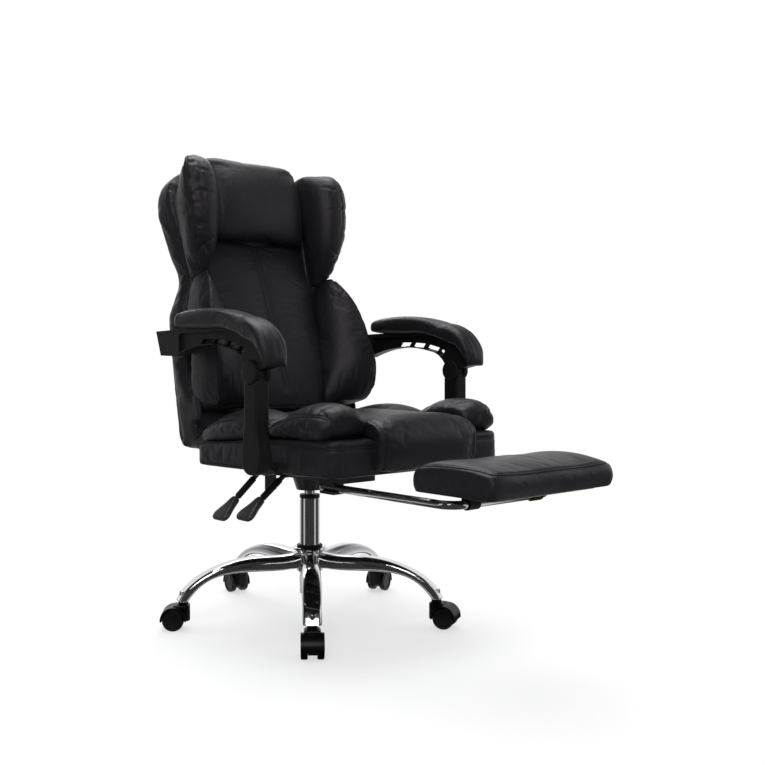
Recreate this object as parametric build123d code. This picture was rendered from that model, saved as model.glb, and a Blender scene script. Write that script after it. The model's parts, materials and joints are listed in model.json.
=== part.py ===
"""Reclining gaming chair with a pull-out footrest, built as separate pieces.

Millimetres, +Z up. The sitter faces -Y and +X is the sitter's left.
The origin is on the floor, under the column.
"""

import math
import os

from build123d import *

# Clearances
RUNNING_FIT = 0.06  # radial, round faces that turn or slide on each other
SEATED_FIT = 0.03  # radial, round faces that stay put
MOVING_GAP = 0.5  # flat faces that pass each other

# Casters
WHEEL_DIAMETER = 50.0
WHEEL_WIDTH = 15.0
WHEEL_GAP = 20.0  # between the two wheels of one caster
CASTER_TRAIL = 22.0  # stem axis to axle
CASTER_HEADINGS = (232.0, 296.0, 22.0, 84.0, 143.0)  # degrees from +X, the way each one trails
FENDER_THICKNESS = 3.5
FENDER_GAP = 1.5
AXLE_DIAMETER = 6.0
STEM_DIAMETER = 11.0
HOOD_NECK_WIDTH = 36.0
STEM_SOCKET_DEPTH = 20.0
CASTER_HEIGHT = 66.5  # floor to the top of the hood

# Star base
LEG_COUNT = 5
LEG_HEADING = 232.2  # first leg, degrees from +X
BASE_RADIUS = 311.0  # column axis to caster stem
LEG_RISE = 76.0  # leg end up to the leg's middle line at the hub
LEG_FALL = 11.0  # from the hub to the bend
LEG_BEND_RUN = 61.0  # how far in from its end the leg turns down
LEG_BEND_RADIUS = 60.0
LEG_WIDTH = 45.0
LEG_HUB_DEPTH = 38.0
LEG_END_DEPTH = 19.0
HUB_DIAMETER = 64.0
HUB_FLANGE_DIAMETER = 84.0
HUB_HEIGHT = 58.0
HUB_RISE = 11.0  # hub top above the legs

# Column and gas lift
COLUMN_DIAMETER = 50.0
COLUMN_WALL = 1.8
COLUMN_EXPOSED = 119.0  # hub top to column top
COLUMN_TAIL = 55.0  # below the hub
BUSH_LENGTH = 62.0
BUSH_RING_HEIGHT = 8.0
CYLINDER_DIAMETER = 28.0
CYLINDER_WALL = 2.5
CYLINDER_EXPOSED = 12.0  # between bush ring and tilt mechanism
ROD_DIAMETER = 10.0
LIFT_TRAVEL = 100.0
RELEASE_PIN_DIAMETER = 8.0

# Tilt mechanism
MECHANISM_HEIGHT = 80.0
MECHANISM_WIDTH = 120.0
MECHANISM_FRONT = 178.0  # ahead of the column
MECHANISM_REAR = 70.0  # behind the column
SOCKET_BOSS_HEIGHT = 33.0
PLATE_THICKNESS = 4.0
PLATE_WIDTH = 210.0
SHEET_THICKNESS = 3.0
SEAT_BOLT_DIAMETER = 8.0

# Levers, both on the sitter's right
LEVER_ROD_DIAMETER = 11.0
LEVER_DROP = 20.0  # board underside to the rods
HEIGHT_LEVER_FRONT = 48.0  # ahead of the column
RECLINE_LEVER_FRONT = 140.0
LEVER_PIVOT_OUT = 74.0  # column to the pivots
LEVER_BEND_OUT = 185.0
LEVER_TIP_OUT = 298.0
HEIGHT_TIP_DROP = 97.0
RECLINE_TIP_DROP = 86.0
PADDLE_LENGTH = 66.0
PADDLE_WIDTH = 40.0
PADDLE_THICKNESS = 16.0

# Seat
SEAT_WIDTH = 510.0
SEAT_FRONT = 385.0  # ahead of the column
SEAT_REAR = 105.0  # behind the column
SEAT_SKIRT = 12.0  # how far the upholstered rim hangs below the board
BOARD_THICKNESS = 12.0
BOARD_INSET = 35.0
SEAT_BASE_DEPTH = 48.0  # upholstered base above the board
SEAT_FRONT_CORNER = 45.0
SEAT_REAR_CORNER = 35.0
CUSHION_WIDTH = 292.0
CUSHION_HEIGHT = 54.0
CUSHION_OVERHANG = 30.0  # front roll ahead of the base
CUSHION_APRON = 70.0  # front roll below the base's top
CUSHION_DRAW_IN = 9.0
BOLSTER_SPLIT = 180.0  # ahead of the column, between front and rear bolster
FRONT_BOLSTER_HEIGHT = 82.0
REAR_BOLSTER_HEIGHT = 63.0
BOLSTER_OVERHANG = 6.0  # past the seat's side

# Arms: the four pivots form a parallelogram, so the arms stay level
ARM_GAP = 28.5  # seat side to the post
POST_THICKNESS = 35.0
POST_DEPTH = 44.0
POST_FOOT_RADIUS = 31.0
POST_FOOT_EDGE = 11.0  # lower pivot to the post's lowest edge
POST_LENGTH = 202.0  # lower pivot to knuckle
POST_SHOULDER = 17.0  # knuckle down to the post's shoulders
POST_FOOT_HEIGHT = 18.0  # seat underside to the lower pivot
ARM_SPAN = 342.0  # knuckle to rear pivot, level
ARM_LENGTH = 355.0  # scale of the arm's outline, along
ARM_ARCH = 62.0  # scale of the arm's outline, up
ARM_THICKNESS = 28.0
ARM_OUTER_RECESS = 6.0  # lips to the web, outside
ARM_INNER_RECESS = 12.0  # lips to the web, inside
ARM_PAD_WIDTH = 70.0
ARM_PAD_ROUND = 12.0
ARM_PAD_NOSE = 27.0  # rounding of the front, from above
ARM_PAD_TAIL = 16.0
KNUCKLE_RADIUS = 25.0
TONGUE_THICKNESS = 14.0
ARM_PIN_DIAMETER = 8.0
ARM_STUD_DIAMETER = 12.0

# Back, measured from its hinge: up along the back, and forward or rearward of the hinge
HINGE_SETBACK = 38.0  # seat rear to the hinge
HINGE_HEIGHT = 70.0  # seat underside to the hinge
BACK_LEAN = 13.0  # degrees from upright
RECLINE_TRAVEL = 40.0  # degrees
BACK_REAR = 48.0
BACK_RIM = 16.0  # front of the upholstered rim
BACK_BOARD_REAR = 32.0
BACK_BOTTOM = 33.0  # below the hinge
BACK_TOP = 672.0
BACK_HIP_WIDTH = 494.0
BACK_WAIST_WIDTH = 406.0
BACK_SHOULDER_WIDTH = 476.0
BACK_BOTTOM_WIDTH = 488.0
BACK_HIP_TOP = 297.0
BACK_WAIST = 393.0
BACK_SHOULDER = 559.0
BACK_EDGE_ROUND = 14.0
BACK_BULGE = 20.0  # fuller rear behind the loins
BACK_POCKET_WIDTH = 320.0
BACK_PAD_BOTTOM = 44.0
BACK_PAD_DEPTH = 98.0  # at the bottom
BACK_PAD_TOP_DEPTH = 38.0
PILLOW_WIDTH = 300.0
PILLOW_BOTTOM = 483.0
PILLOW_TOP = 695.0
PILLOW_DEPTH = 68.0
WING_BOTTOM = 387.0
WING_TOP = 679.0
WING_DEPTH = 120.0
WING_OUT = 249.0  # chair's middle to the wing's edge
LUMBAR_BOTTOM = 62.0
LUMBAR_TOP = 383.0
LUMBAR_DEPTH = 134.0
LUMBAR_OUT = 242.0

# Recline hinge
HINGE_PLATE_THICKNESS = 5.0
HINGE_PLATE_INSET = 19.0  # seat side to the seat's plate
HINGE_EYE_RADIUS = 22.0
HINGE_PIVOT_DIAMETER = 24.0
RELEASE_SHAFT_DIAMETER = 12.0

# Footrest
RAIL_DIAMETER = 17.0
RAIL_SPACING = 296.0
RAIL_DROP = 38.0  # board underside to the rails' middle
RAIL_REAR = 226.0  # ahead of the column
CROSSBAR_FRONT = 604.0  # ahead of the column
RAIL_BEND_RADIUS = 36.0
FOOTREST_TRAVEL = 280.0
GUIDE_LENGTH = 45.0
GUIDE_FRONT = 281.0  # ahead of the column
FOOTREST_WIDTH = 356.0
FOOTREST_REAR = 76.0  # behind the cross-bar
FOOTREST_REACH = 130.0  # ahead of the cross-bar
FOOTREST_DEPTH = 61.0  # pad height
FOOTREST_RIM = 22.0  # pad's edge past the board
FOOTREST_SKIRT = 3.0  # pad's rim hanging beside the board
FOOTREST_BOARD = 6.0
FOOTREST_LIFT = 20.0  # cross-bar to the board's underside
CLAMP_SPACING = 190.0
CLAMP_WIDTH = 30.0

# Levels and places that follow from the sizes above
WHEEL_RADIUS = WHEEL_DIAMETER / 2
STEM_SEAT = CASTER_HEIGHT + MOVING_GAP
LEG_LEVEL = STEM_SEAT + LEG_RISE
HUB_TOP = LEG_LEVEL + LEG_HUB_DEPTH / 2 + HUB_RISE
HUB_BOTTOM = HUB_TOP - HUB_HEIGHT
COLUMN_TOP = HUB_TOP + COLUMN_EXPOSED
COLUMN_BOTTOM = HUB_BOTTOM - COLUMN_TAIL
RING_TOP = COLUMN_TOP + BUSH_RING_HEIGHT
MECHANISM_BOTTOM = RING_TOP + CYLINDER_EXPOSED
BOARD_BOTTOM = MECHANISM_BOTTOM + MECHANISM_HEIGHT
PLATE_BOTTOM = BOARD_BOTTOM - PLATE_THICKNESS
HOUSING_BOTTOM = MECHANISM_BOTTOM + SOCKET_BOSS_HEIGHT
LEVER_LEVEL = BOARD_BOTTOM - LEVER_DROP
PIN_TOP = LEVER_LEVEL - LEVER_ROD_DIAMETER / 2 - MOVING_GAP
CYLINDER_TOP = PIN_TOP - 5
SEAT_BOTTOM = BOARD_BOTTOM - SEAT_SKIRT
BOARD_TOP = BOARD_BOTTOM + BOARD_THICKNESS
SEAT_BASE_TOP = BOARD_TOP + SEAT_BASE_DEPTH
CUSHION_TOP = SEAT_BASE_TOP + CUSHION_HEIGHT
SEAT_SIDE = SEAT_WIDTH / 2
BOARD_SIDE = SEAT_SIDE - BOARD_INSET
POST_INNER = SEAT_SIDE + ARM_GAP
POST_OUTER = POST_INNER + POST_THICKNESS
ARM_MIDDLE = POST_INNER + POST_THICKNESS / 2
HINGE_Y = SEAT_REAR + HINGE_SETBACK
HINGE_Z = SEAT_BOTTOM + HINGE_HEIGHT
KNUCKLE_Y = HINGE_Y - ARM_SPAN
FOOT_Z = SEAT_BOTTOM + POST_FOOT_HEIGHT
KNUCKLE_Z = FOOT_Z + POST_LENGTH
ARM_REAR_Z = HINGE_Z + POST_LENGTH
RAIL_LEVEL = BOARD_BOTTOM - RAIL_DROP
RAIL_X = RAIL_SPACING / 2
SEAT_PLATE_OUTER = SEAT_SIDE - HINGE_PLATE_INSET
SEAT_PLATE_INNER = SEAT_PLATE_OUTER - HINGE_PLATE_THICKNESS
BACK_PLATE_OUTER = SEAT_PLATE_INNER - MOVING_GAP
BACK_PLATE_INNER = BACK_PLATE_OUTER - HINGE_PLATE_THICKNESS
BACK_BOARD_FRONT = BACK_BOARD_REAR - BOARD_THICKNESS
POCKET_SIDE = BACK_POCKET_WIDTH / 2
BACK_PLACE = Pos(0, HINGE_Y, HINGE_Z) * Rot(-BACK_LEAN, 0, 0)


def block(x, y, z):
    """Box between the low and high value on each axis."""
    spans = (x, y, z)
    middle = [(low + high) / 2 for low, high in spans]
    size = [high - low for low, high in spans]
    return Pos(*middle) * Box(*size)


def rod_x(y, z, start, end, radius):
    return Pos((start + end) / 2, y, z) * Rot(0, 90, 0) * Cylinder(radius, end - start)


def rod_y(x, z, start, end, radius):
    return Pos(x, (start + end) / 2, z) * Rot(90, 0, 0) * Cylinder(radius, end - start)


def rod_z(x, y, start, end, radius):
    return Pos(x, y, (start + end) / 2) * Cylinder(radius, end - start)


def cone_z(start, end, start_radius, end_radius):
    return Pos(0, 0, (start + end) / 2) * Cone(start_radius, end_radius, end - start)


def mirrored(shape):
    return mirror(shape, Plane.YZ)


def both_sides(shape):
    return Compound(children=[shape, mirrored(shape)])


def slab_x(edges, start, end):
    """Side outline, drawn as (y, z), made solid between two values of x."""
    side = Plane((start, 0, 0), x_dir=(0, 1, 0), z_dir=(1, 0, 0))
    return extrude(side * make_face(edges), end - start)


def chain(start, *steps):
    """Closed outline: each step is a point for a line, or (through, point) for an arc."""
    edges = []
    here = start
    for step in steps + (start,):
        if isinstance(step[0], tuple):
            edges.append(ThreePointArc(here, step[0], step[1]))
            here = step[1]
        elif math.dist(here, step) > 1e-6:
            edges.append(Line(here, step))
            here = step
    return edges


def caster_place(index):
    """Puts a caster, made with its stem on Z and its axle along Y, under its leg."""
    turn = math.radians(LEG_HEADING + index * 360 / LEG_COUNT)
    x = BASE_RADIUS * math.cos(turn)
    y = BASE_RADIUS * math.sin(turn)
    return Pos(x, y, 0) * Rot(0, 0, CASTER_HEADINGS[index])


def caster_hood():
    fender = WHEEL_RADIUS + FENDER_GAP + FENDER_THICKNESS
    half = WHEEL_GAP / 2 + WHEEL_WIDTH
    web = WHEEL_GAP / 2 - MOVING_GAP
    hood = rod_y(CASTER_TRAIL, WHEEL_RADIUS, -half, half, fender)
    hood -= block((-100, 100), (-half, half), (-100, WHEEL_RADIUS - 3))
    hood += rod_y(CASTER_TRAIL, WHEEL_RADIUS, -web, web, WHEEL_RADIUS - 8)
    neck = HOOD_NECK_WIDTH / 2
    shoulder = block((-15, CASTER_TRAIL), (-neck, neck), (WHEEL_RADIUS - 3, CASTER_HEIGHT - 8))
    shoulder = fillet(shoulder.edges().filter_by(Axis.Z).group_by(Axis.X)[0], 11)
    hood += fillet(shoulder.faces().sort_by(Axis.Z)[-1].edges(), 4)
    hood += rod_z(0, 0, WHEEL_RADIUS, CASTER_HEIGHT, STEM_DIAMETER / 2 + 6)
    for side in (-1, 1):
        ends = sorted((side * web, side * (half + 1)))
        hood -= rod_y(CASTER_TRAIL, WHEEL_RADIUS, ends[0], ends[1], WHEEL_RADIUS + FENDER_GAP)
    hood -= rod_y(CASTER_TRAIL, WHEEL_RADIUS, -half, half, AXLE_DIAMETER / 2 + SEATED_FIT)
    hood -= rod_z(0, 0, CASTER_HEIGHT - 19, CASTER_HEIGHT + 1, STEM_DIAMETER / 2 + SEATED_FIT)
    return hood


def caster_pins():
    half = WHEEL_GAP / 2 + WHEEL_WIDTH - 3
    stem_top = STEM_SEAT + STEM_SOCKET_DEPTH - 1
    stem = rod_z(0, 0, CASTER_HEIGHT - 19, stem_top, STEM_DIAMETER / 2)
    axle = rod_y(CASTER_TRAIL, WHEEL_RADIUS, -half, half, AXLE_DIAMETER / 2)
    return [stem, axle]


def caster_wheel(side):
    near = WHEEL_GAP / 2
    far = near + WHEEL_WIDTH
    wheel = rod_y(CASTER_TRAIL, WHEEL_RADIUS, near, far, WHEEL_RADIUS)
    wheel = fillet(wheel.edges(), 3.5)
    wheel -= rod_y(CASTER_TRAIL, WHEEL_RADIUS, far - 1.2, far + 1, WHEEL_RADIUS * 0.68)
    wheel -= rod_y(CASTER_TRAIL, WHEEL_RADIUS, near - 1, far - 3, AXLE_DIAMETER / 2 + RUNNING_FIT)
    return wheel if side > 0 else mirror(wheel, Plane.XZ)


def star_leg():
    """One leg along +X: level from the hub, then bent down to its caster."""
    corner = (BASE_RADIUS - LEG_BEND_RUN, LEG_LEVEL - LEG_FALL)
    foot = (BASE_RADIUS, STEM_SEAT)
    past = 1.12
    end = [c + past * (f - c) for c, f in zip(corner, foot)]
    path = FilletPolyline(
        (HUB_DIAMETER * 0.3, 0, LEG_LEVEL),
        (corner[0], 0, corner[1]),
        (end[0], 0, end[1]),
        radius=LEG_BEND_RADIUS,
    )
    sections = []
    for along, width, depth in (
        (0.0, 0.94, 1.0),
        (0.3, 1.0, 0.85),
        (0.58, 1.0, 0.3),
        (0.78, 0.97, 0.0),
        (1.0, 0.88, 0.0),
    ):
        across = LEG_WIDTH * width
        thick = LEG_END_DEPTH + (LEG_HUB_DEPTH - LEG_END_DEPTH) * depth
        plane = Plane(path @ along, x_dir=(0, 1, 0), z_dir=path % along)
        sections.append(plane * RectangleRounded(across, thick, thick * 0.42))
    leg = loft(sections)
    leg -= block((BASE_RADIUS - 80, BASE_RADIUS + 80), (-60, 60), (0, STEM_SEAT))
    top = STEM_SEAT + STEM_SOCKET_DEPTH + 2
    return leg + rod_z(BASE_RADIUS, 0, STEM_SEAT, top, STEM_DIAMETER / 2 + 3)


def star_base():
    flange = HUB_FLANGE_DIAMETER / 2
    base = rod_z(0, 0, HUB_BOTTOM, HUB_TOP, HUB_DIAMETER / 2)
    base += cone_z(HUB_TOP - 14, HUB_TOP - 5, HUB_DIAMETER / 2, flange)
    base += cone_z(HUB_TOP - 5, HUB_TOP, flange, flange - 3)
    leg = star_leg()
    bore = STEM_DIAMETER / 2 + RUNNING_FIT
    socket = rod_z(BASE_RADIUS, 0, STEM_SEAT - 1, STEM_SEAT + STEM_SOCKET_DEPTH, bore)
    for index in range(LEG_COUNT):
        turn = Rot(0, 0, LEG_HEADING + index * 360 / LEG_COUNT)
        base += turn * leg
    for index in range(LEG_COUNT):
        base -= Rot(0, 0, LEG_HEADING + index * 360 / LEG_COUNT) * socket
    base -= rod_z(0, 0, HUB_BOTTOM - 30, HUB_TOP + 1, COLUMN_DIAMETER / 2 + SEATED_FIT)
    return base


def column_tube():
    tube = rod_z(0, 0, COLUMN_BOTTOM, COLUMN_TOP, COLUMN_DIAMETER / 2)
    tube -= rod_z(0, 0, COLUMN_BOTTOM + 4, COLUMN_TOP + 1, COLUMN_DIAMETER / 2 - COLUMN_WALL)
    return tube - rod_z(0, 0, COLUMN_BOTTOM - 1, COLUMN_BOTTOM + 5, ROD_DIAMETER / 2 + RUNNING_FIT)


def column_bush():
    bore = CYLINDER_DIAMETER / 2 + RUNNING_FIT
    inner = COLUMN_DIAMETER / 2 - COLUMN_WALL - SEATED_FIT
    bush = rod_z(0, 0, COLUMN_TOP - BUSH_LENGTH, COLUMN_TOP, inner)
    bush += rod_z(0, 0, COLUMN_TOP, RING_TOP, COLUMN_DIAMETER / 2 - 0.4)
    return bush - rod_z(0, 0, COLUMN_TOP - BUSH_LENGTH - 1, RING_TOP + 1, bore)


def thrust_bearing():
    ring = rod_z(0, 0, COLUMN_BOTTOM + 4, COLUMN_BOTTOM + 12, 15)
    return ring - rod_z(0, 0, COLUMN_BOTTOM, COLUMN_BOTTOM + 13, ROD_DIAMETER / 2 + RUNNING_FIT)


def piston_rod():
    piston_bottom = COLUMN_BOTTOM + 62 + LIFT_TRAVEL + 34
    bore = CYLINDER_DIAMETER / 2 - CYLINDER_WALL
    rod = rod_z(0, 0, COLUMN_BOTTOM - 8, piston_bottom + 1, ROD_DIAMETER / 2)
    rod += rod_z(0, 0, COLUMN_BOTTOM + 12 + RUNNING_FIT, COLUMN_BOTTOM + 18, ROD_DIAMETER / 2 + 4)
    return rod + rod_z(0, 0, piston_bottom, piston_bottom + 14, bore - RUNNING_FIT)


def gas_cylinder():
    bottom = COLUMN_BOTTOM + 62
    tube = rod_z(0, 0, bottom, CYLINDER_TOP, CYLINDER_DIAMETER / 2)
    tube -= rod_z(0, 0, bottom + 20, CYLINDER_TOP - 24, CYLINDER_DIAMETER / 2 - CYLINDER_WALL)
    tube -= rod_z(0, 0, bottom - 1, bottom + 21, ROD_DIAMETER / 2 + RUNNING_FIT)
    pin_bore = RELEASE_PIN_DIAMETER / 2 + RUNNING_FIT
    return tube - rod_z(0, 0, CYLINDER_TOP - 25, CYLINDER_TOP + 1, pin_bore)


def release_pin():
    return rod_z(0, 0, CYLINDER_TOP - 20, PIN_TOP, RELEASE_PIN_DIAMETER / 2)


def tilt_mechanism():
    half = MECHANISM_WIDTH / 2
    front, rear = -MECHANISM_FRONT, MECHANISM_REAR
    sheet = SHEET_THICKNESS
    frame = block((-half, half), (front, rear), (HOUSING_BOTTOM, PLATE_BOTTOM))
    frame = fillet(frame.edges().filter_by(Axis.Z), 14)
    hollow = (HOUSING_BOTTOM + sheet, BOARD_BOTTOM)
    inside = block((sheet - half, half - sheet), (front + sheet, rear - sheet), hollow)
    frame -= fillet(inside.edges().filter_by(Axis.Z), 14 - sheet)
    socket = CYLINDER_DIAMETER / 2 + SEATED_FIT
    frame += cone_z(MECHANISM_BOTTOM, HOUSING_BOTTOM + sheet, 32, 44)
    frame += rod_z(0, 0, HOUSING_BOTTOM, CYLINDER_TOP - 4, CYLINDER_DIAMETER / 2 + 6)
    wide = PLATE_WIDTH / 2
    plate = block((-wide, wide), (front - 16, rear + 16), (PLATE_BOTTOM, BOARD_BOTTOM))
    plate -= block((20 - half, half - 20), (front + 20, rear - 20), (PLATE_BOTTOM - 1, BOARD_BOTTOM + 1))
    frame += plate
    frame -= rod_z(0, 0, MECHANISM_BOTTOM - 1, CYLINDER_TOP, socket)
    for ahead in (HEIGHT_LEVER_FRONT, RECLINE_LEVER_FRONT):
        slot = LEVER_ROD_DIAMETER / 2 + 4
        heights = (LEVER_LEVEL - 13, LEVER_LEVEL + 9)
        frame -= block((-half - 1, sheet + 1 - half), (-ahead - slot, slot - ahead), heights)
        for side in (-1, 1):
            near = side * (LEVER_ROD_DIAMETER * 0.8 + MOVING_GAP)
            ends = sorted((near - ahead, near + side * sheet - ahead))
            ear = block((-LEVER_PIVOT_OUT - 10, -half), ends, (LEVER_LEVEL - 10, PLATE_BOTTOM))
            ear -= rod_y(-LEVER_PIVOT_OUT, LEVER_LEVEL, ends[0] - 1, ends[1] + 1, 2.5 + SEATED_FIT)
            frame += ear
    for x, y in seat_bolt_places():
        frame -= rod_z(x, y, PLATE_BOTTOM - 1, BOARD_BOTTOM + 1, SEAT_BOLT_DIAMETER / 2 + 0.3)
    return frame


def seat_bolt_places():
    x = PLATE_WIDTH / 2 - 20
    return [(side * x, y) for side in (-1, 1) for y in (12 - MECHANISM_FRONT, MECHANISM_REAR - 12)]


def seat_bolts():
    bolts = []
    for x, y in seat_bolt_places():
        bolt = rod_z(x, y, PLATE_BOTTOM, BOARD_TOP - 1, SEAT_BOLT_DIAMETER / 2)
        head = extrude(Pos(x, y, PLATE_BOTTOM - 5) * RegularPolygon(SEAT_BOLT_DIAMETER * 0.87, 6), 5)
        bolts.append(bolt + head)
    return bolts


def lever_pins():
    pins = []
    for ahead in (HEIGHT_LEVER_FRONT, RECLINE_LEVER_FRONT):
        reach = LEVER_ROD_DIAMETER * 0.8 + MOVING_GAP + SHEET_THICKNESS + 1
        pins.append(rod_y(-LEVER_PIVOT_OUT, LEVER_LEVEL, -ahead - reach, reach - ahead, 2.5))
    return pins


def lever_rod(ahead, drop, inner):
    """Bent rod from its inner points, given as (x, y), out over the rail and down into the paddle."""
    radius = LEVER_ROD_DIAMETER / 2
    paddle = paddle_line(ahead, drop)
    points = [(x, y, LEVER_LEVEL) for x, y in inner]
    points.append((-LEVER_BEND_OUT, -ahead, LEVER_LEVEL))
    points.append(paddle @ 0.45)
    path = FilletPolyline(*points, radius=12)
    rod = sweep(Plane(path @ 0, z_dir=path % 0) * Circle(radius), path=path)
    width = LEVER_ROD_DIAMETER * 0.8
    rod += rod_y(-LEVER_PIVOT_OUT, LEVER_LEVEL, -ahead - width, width - ahead, LEVER_ROD_DIAMETER * 0.8)
    return rod - rod_y(-LEVER_PIVOT_OUT, LEVER_LEVEL, -ahead - 20, 20 - ahead, 2.5 + RUNNING_FIT)


def height_lever_inner():
    """The height lever's inner run, from over the release pin to the housing's wall."""
    return [(3, 0), (6 - MECHANISM_WIDTH / 2, -HEIGHT_LEVER_FRONT)]


def recline_lever_inner():
    """The recline lever's inner end, past the middle of the housing."""
    return [(-16, -RECLINE_LEVER_FRONT)]


def paddle_line(ahead, drop):
    """Middle line of a paddle, from the rod side to the tip."""
    bend = Vector(-LEVER_BEND_OUT, -ahead, LEVER_LEVEL)
    tip = Vector(-LEVER_TIP_OUT, -ahead, LEVER_LEVEL - drop)
    way = (tip - bend).normalized()
    return Line(tip - way * PADDLE_LENGTH, tip)


def lever_paddle(ahead, drop):
    middle = paddle_line(ahead, drop)
    sections = []
    for along, width, thick in (
        (0, 0.42, 0.98),
        (0.3, 0.62, 1.05),
        (0.72, 1, 1),
        (0.93, 0.94, 0.8),
        (1, 0.74, 0.45),
    ):
        size = (PADDLE_WIDTH * width, PADDLE_THICKNESS * thick)
        plane = Plane(middle @ along, x_dir=(0, 1, 0), z_dir=middle % along)
        sections.append(plane * RectangleRounded(size[0], size[1], min(size) * 0.45))
    paddle = loft(sections)
    hole = Line(middle @ -0.05, middle @ 0.46)
    bore = Plane(hole @ 0, z_dir=hole % 0) * Circle(LEVER_ROD_DIAMETER / 2 + SEATED_FIT)
    return paddle - extrude(bore, hole.length)


def seat_board():
    depth = (BOARD_INSET - SEAT_FRONT, SEAT_REAR - 10)
    board = block((-BOARD_SIDE, BOARD_SIDE), depth, (BOARD_BOTTOM, BOARD_TOP))
    for x, y in seat_bolt_places():
        board -= rod_z(x, y, BOARD_BOTTOM - 1, BOARD_TOP + 1, SEAT_BOLT_DIAMETER / 2 + SEATED_FIT)
    return board


def seat_base():
    """Upholstered base: a box with rounded corners over the board, its rim hanging past it."""
    middle = (SEAT_REAR - SEAT_FRONT) / 2
    face = Pos(0, middle) * Rectangle(SEAT_WIDTH, SEAT_FRONT + SEAT_REAR)
    corners = face.vertices().group_by(Axis.Y)
    face = fillet(corners[0], SEAT_FRONT_CORNER)
    face = fillet(face.vertices().group_by(Axis.Y)[-1], SEAT_REAR_CORNER)
    base = extrude(Pos(0, 0, SEAT_BOTTOM) * face, SEAT_BASE_TOP - SEAT_BOTTOM)
    base = fillet(base.faces().sort_by(Axis.Z)[-1].edges(), 10)
    base = fillet(base.faces().sort_by(Axis.Z)[0].edges(), 8)
    depth = (BOARD_INSET - SEAT_FRONT, SEAT_REAR - 10)
    base -= block((-BOARD_SIDE, BOARD_SIDE), depth, (SEAT_BOTTOM - 1, BOARD_TOP))
    for side in (-1, 1):
        ends = sorted((side * (BOARD_SIDE - 1), side * (SEAT_PLATE_OUTER + 0.5)))
        base -= block(ends, (SEAT_REAR - 80, SEAT_REAR + 1), (SEAT_BOTTOM - 1, SEAT_BASE_TOP + 1))
    return base


def cushion_side(x, inset):
    """Side outline of the middle cushion: crowned top, rolled front and an apron."""
    front = SEAT_FRONT + CUSHION_OVERHANG - inset
    top = CUSHION_TOP - inset
    apron = SEAT_BASE_TOP - CUSHION_APRON
    edges = chain(
        (SEAT_REAR - 8, SEAT_BASE_TOP),
        (SEAT_REAR - 8, top - 18),
        ((-SEAT_FRONT * 0.3, top), (50 - SEAT_FRONT, top - 2)),
        ((-SEAT_FRONT * 0.35 - front * 0.65, top - 18), (-front, top - 66)),
        ((2 - front, top - 90), (14 - front, apron + inset)),
        (-SEAT_FRONT, apron + inset),
        (-SEAT_FRONT, SEAT_BASE_TOP),
    )
    return Plane((x, 0, 0), x_dir=(0, 1, 0), z_dir=(1, 0, 0)) * make_face(edges)


def seat_cushion():
    half = CUSHION_WIDTH / 2
    draw = CUSHION_DRAW_IN
    stations = ((-half, draw), (-half * 0.7, draw * 0.3), (0, 0), (half * 0.7, draw * 0.3), (half, draw))
    return loft([cushion_side(x, inset) for x, inset in stations])


def bolster_section(y, height, reach):
    """Upright section of a seat bolster: flat on the base, crowned, wider than the base."""
    near = CUSHION_WIDTH / 2 + 2
    span = (SEAT_SIDE + BOLSTER_OVERHANG - near) * reach
    far = near + span
    floor = SEAT_BASE_TOP
    edges = chain(
        (near, floor),
        (near, floor + height * 0.72),
        ((near + span * 0.5, floor + height), (far, floor + height * 0.55)),
        ((far + 1, floor + height * 0.28), (far - span * 0.16, floor)),
    )
    return Plane((0, y, 0), x_dir=(1, 0, 0), z_dir=(0, -1, 0)) * make_face(edges)


def seat_bolster(start, end, height, stations):
    sections = []
    for along, tall, reach in stations:
        sections.append(bolster_section(start + (end - start) * along, height * tall, reach))
    return loft(sections)


def front_bolster():
    stations = ((0, 0.55, 0.94), (0.13, 0.8, 1), (0.45, 1, 1), (0.8, 0.9, 1), (1, 0.6, 0.97))
    return seat_bolster(-SEAT_FRONT + 4, -BOLSTER_SPLIT - 1, FRONT_BOLSTER_HEIGHT, stations)


def rear_bolster():
    stations = ((0, 0.76, 0.97), (0.18, 0.95, 1), (0.45, 1, 1), (0.8, 0.75, 0.96), (1, 0.5, 0.86))
    return seat_bolster(-BOLSTER_SPLIT + 1, SEAT_REAR - 6, REAR_BOLSTER_HEIGHT, stations)


def seat_hinge_plate(grow=0.0):
    """Steel plate from the board's side up to the recline pivot, on the sitter's left."""
    eye = HINGE_EYE_RADIUS
    foot = SEAT_REAR - 75
    low = BOARD_BOTTOM
    edges = chain(
        (foot, low),
        (SEAT_REAR - 13, low),
        (HINGE_Y + eye * 0.7, HINGE_Z - eye * 0.7),
        (HINGE_Y - eye, HINGE_Z),
        (SEAT_REAR - 7, SEAT_BASE_TOP - 3),
        (foot, SEAT_BASE_TOP - 20),
    )
    inner, outer = SEAT_PLATE_INNER - grow, SEAT_PLATE_OUTER + grow
    plate = slab_x(edges, inner, outer)
    return plate + rod_x(HINGE_Y, HINGE_Z, inner, outer, eye + grow)


def seat_hinge():
    plate = seat_hinge_plate()
    depth = (SEAT_REAR - 75, SEAT_REAR - 13)
    plate += block((BOARD_SIDE, SEAT_PLATE_OUTER), depth, (BOARD_BOTTOM, BOARD_TOP))
    bore = HINGE_PIVOT_DIAMETER / 2 + RUNNING_FIT
    return plate - rod_x(HINGE_Y, HINGE_Z, SEAT_PLATE_INNER - 1, SEAT_PLATE_OUTER + 1, bore)


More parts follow.
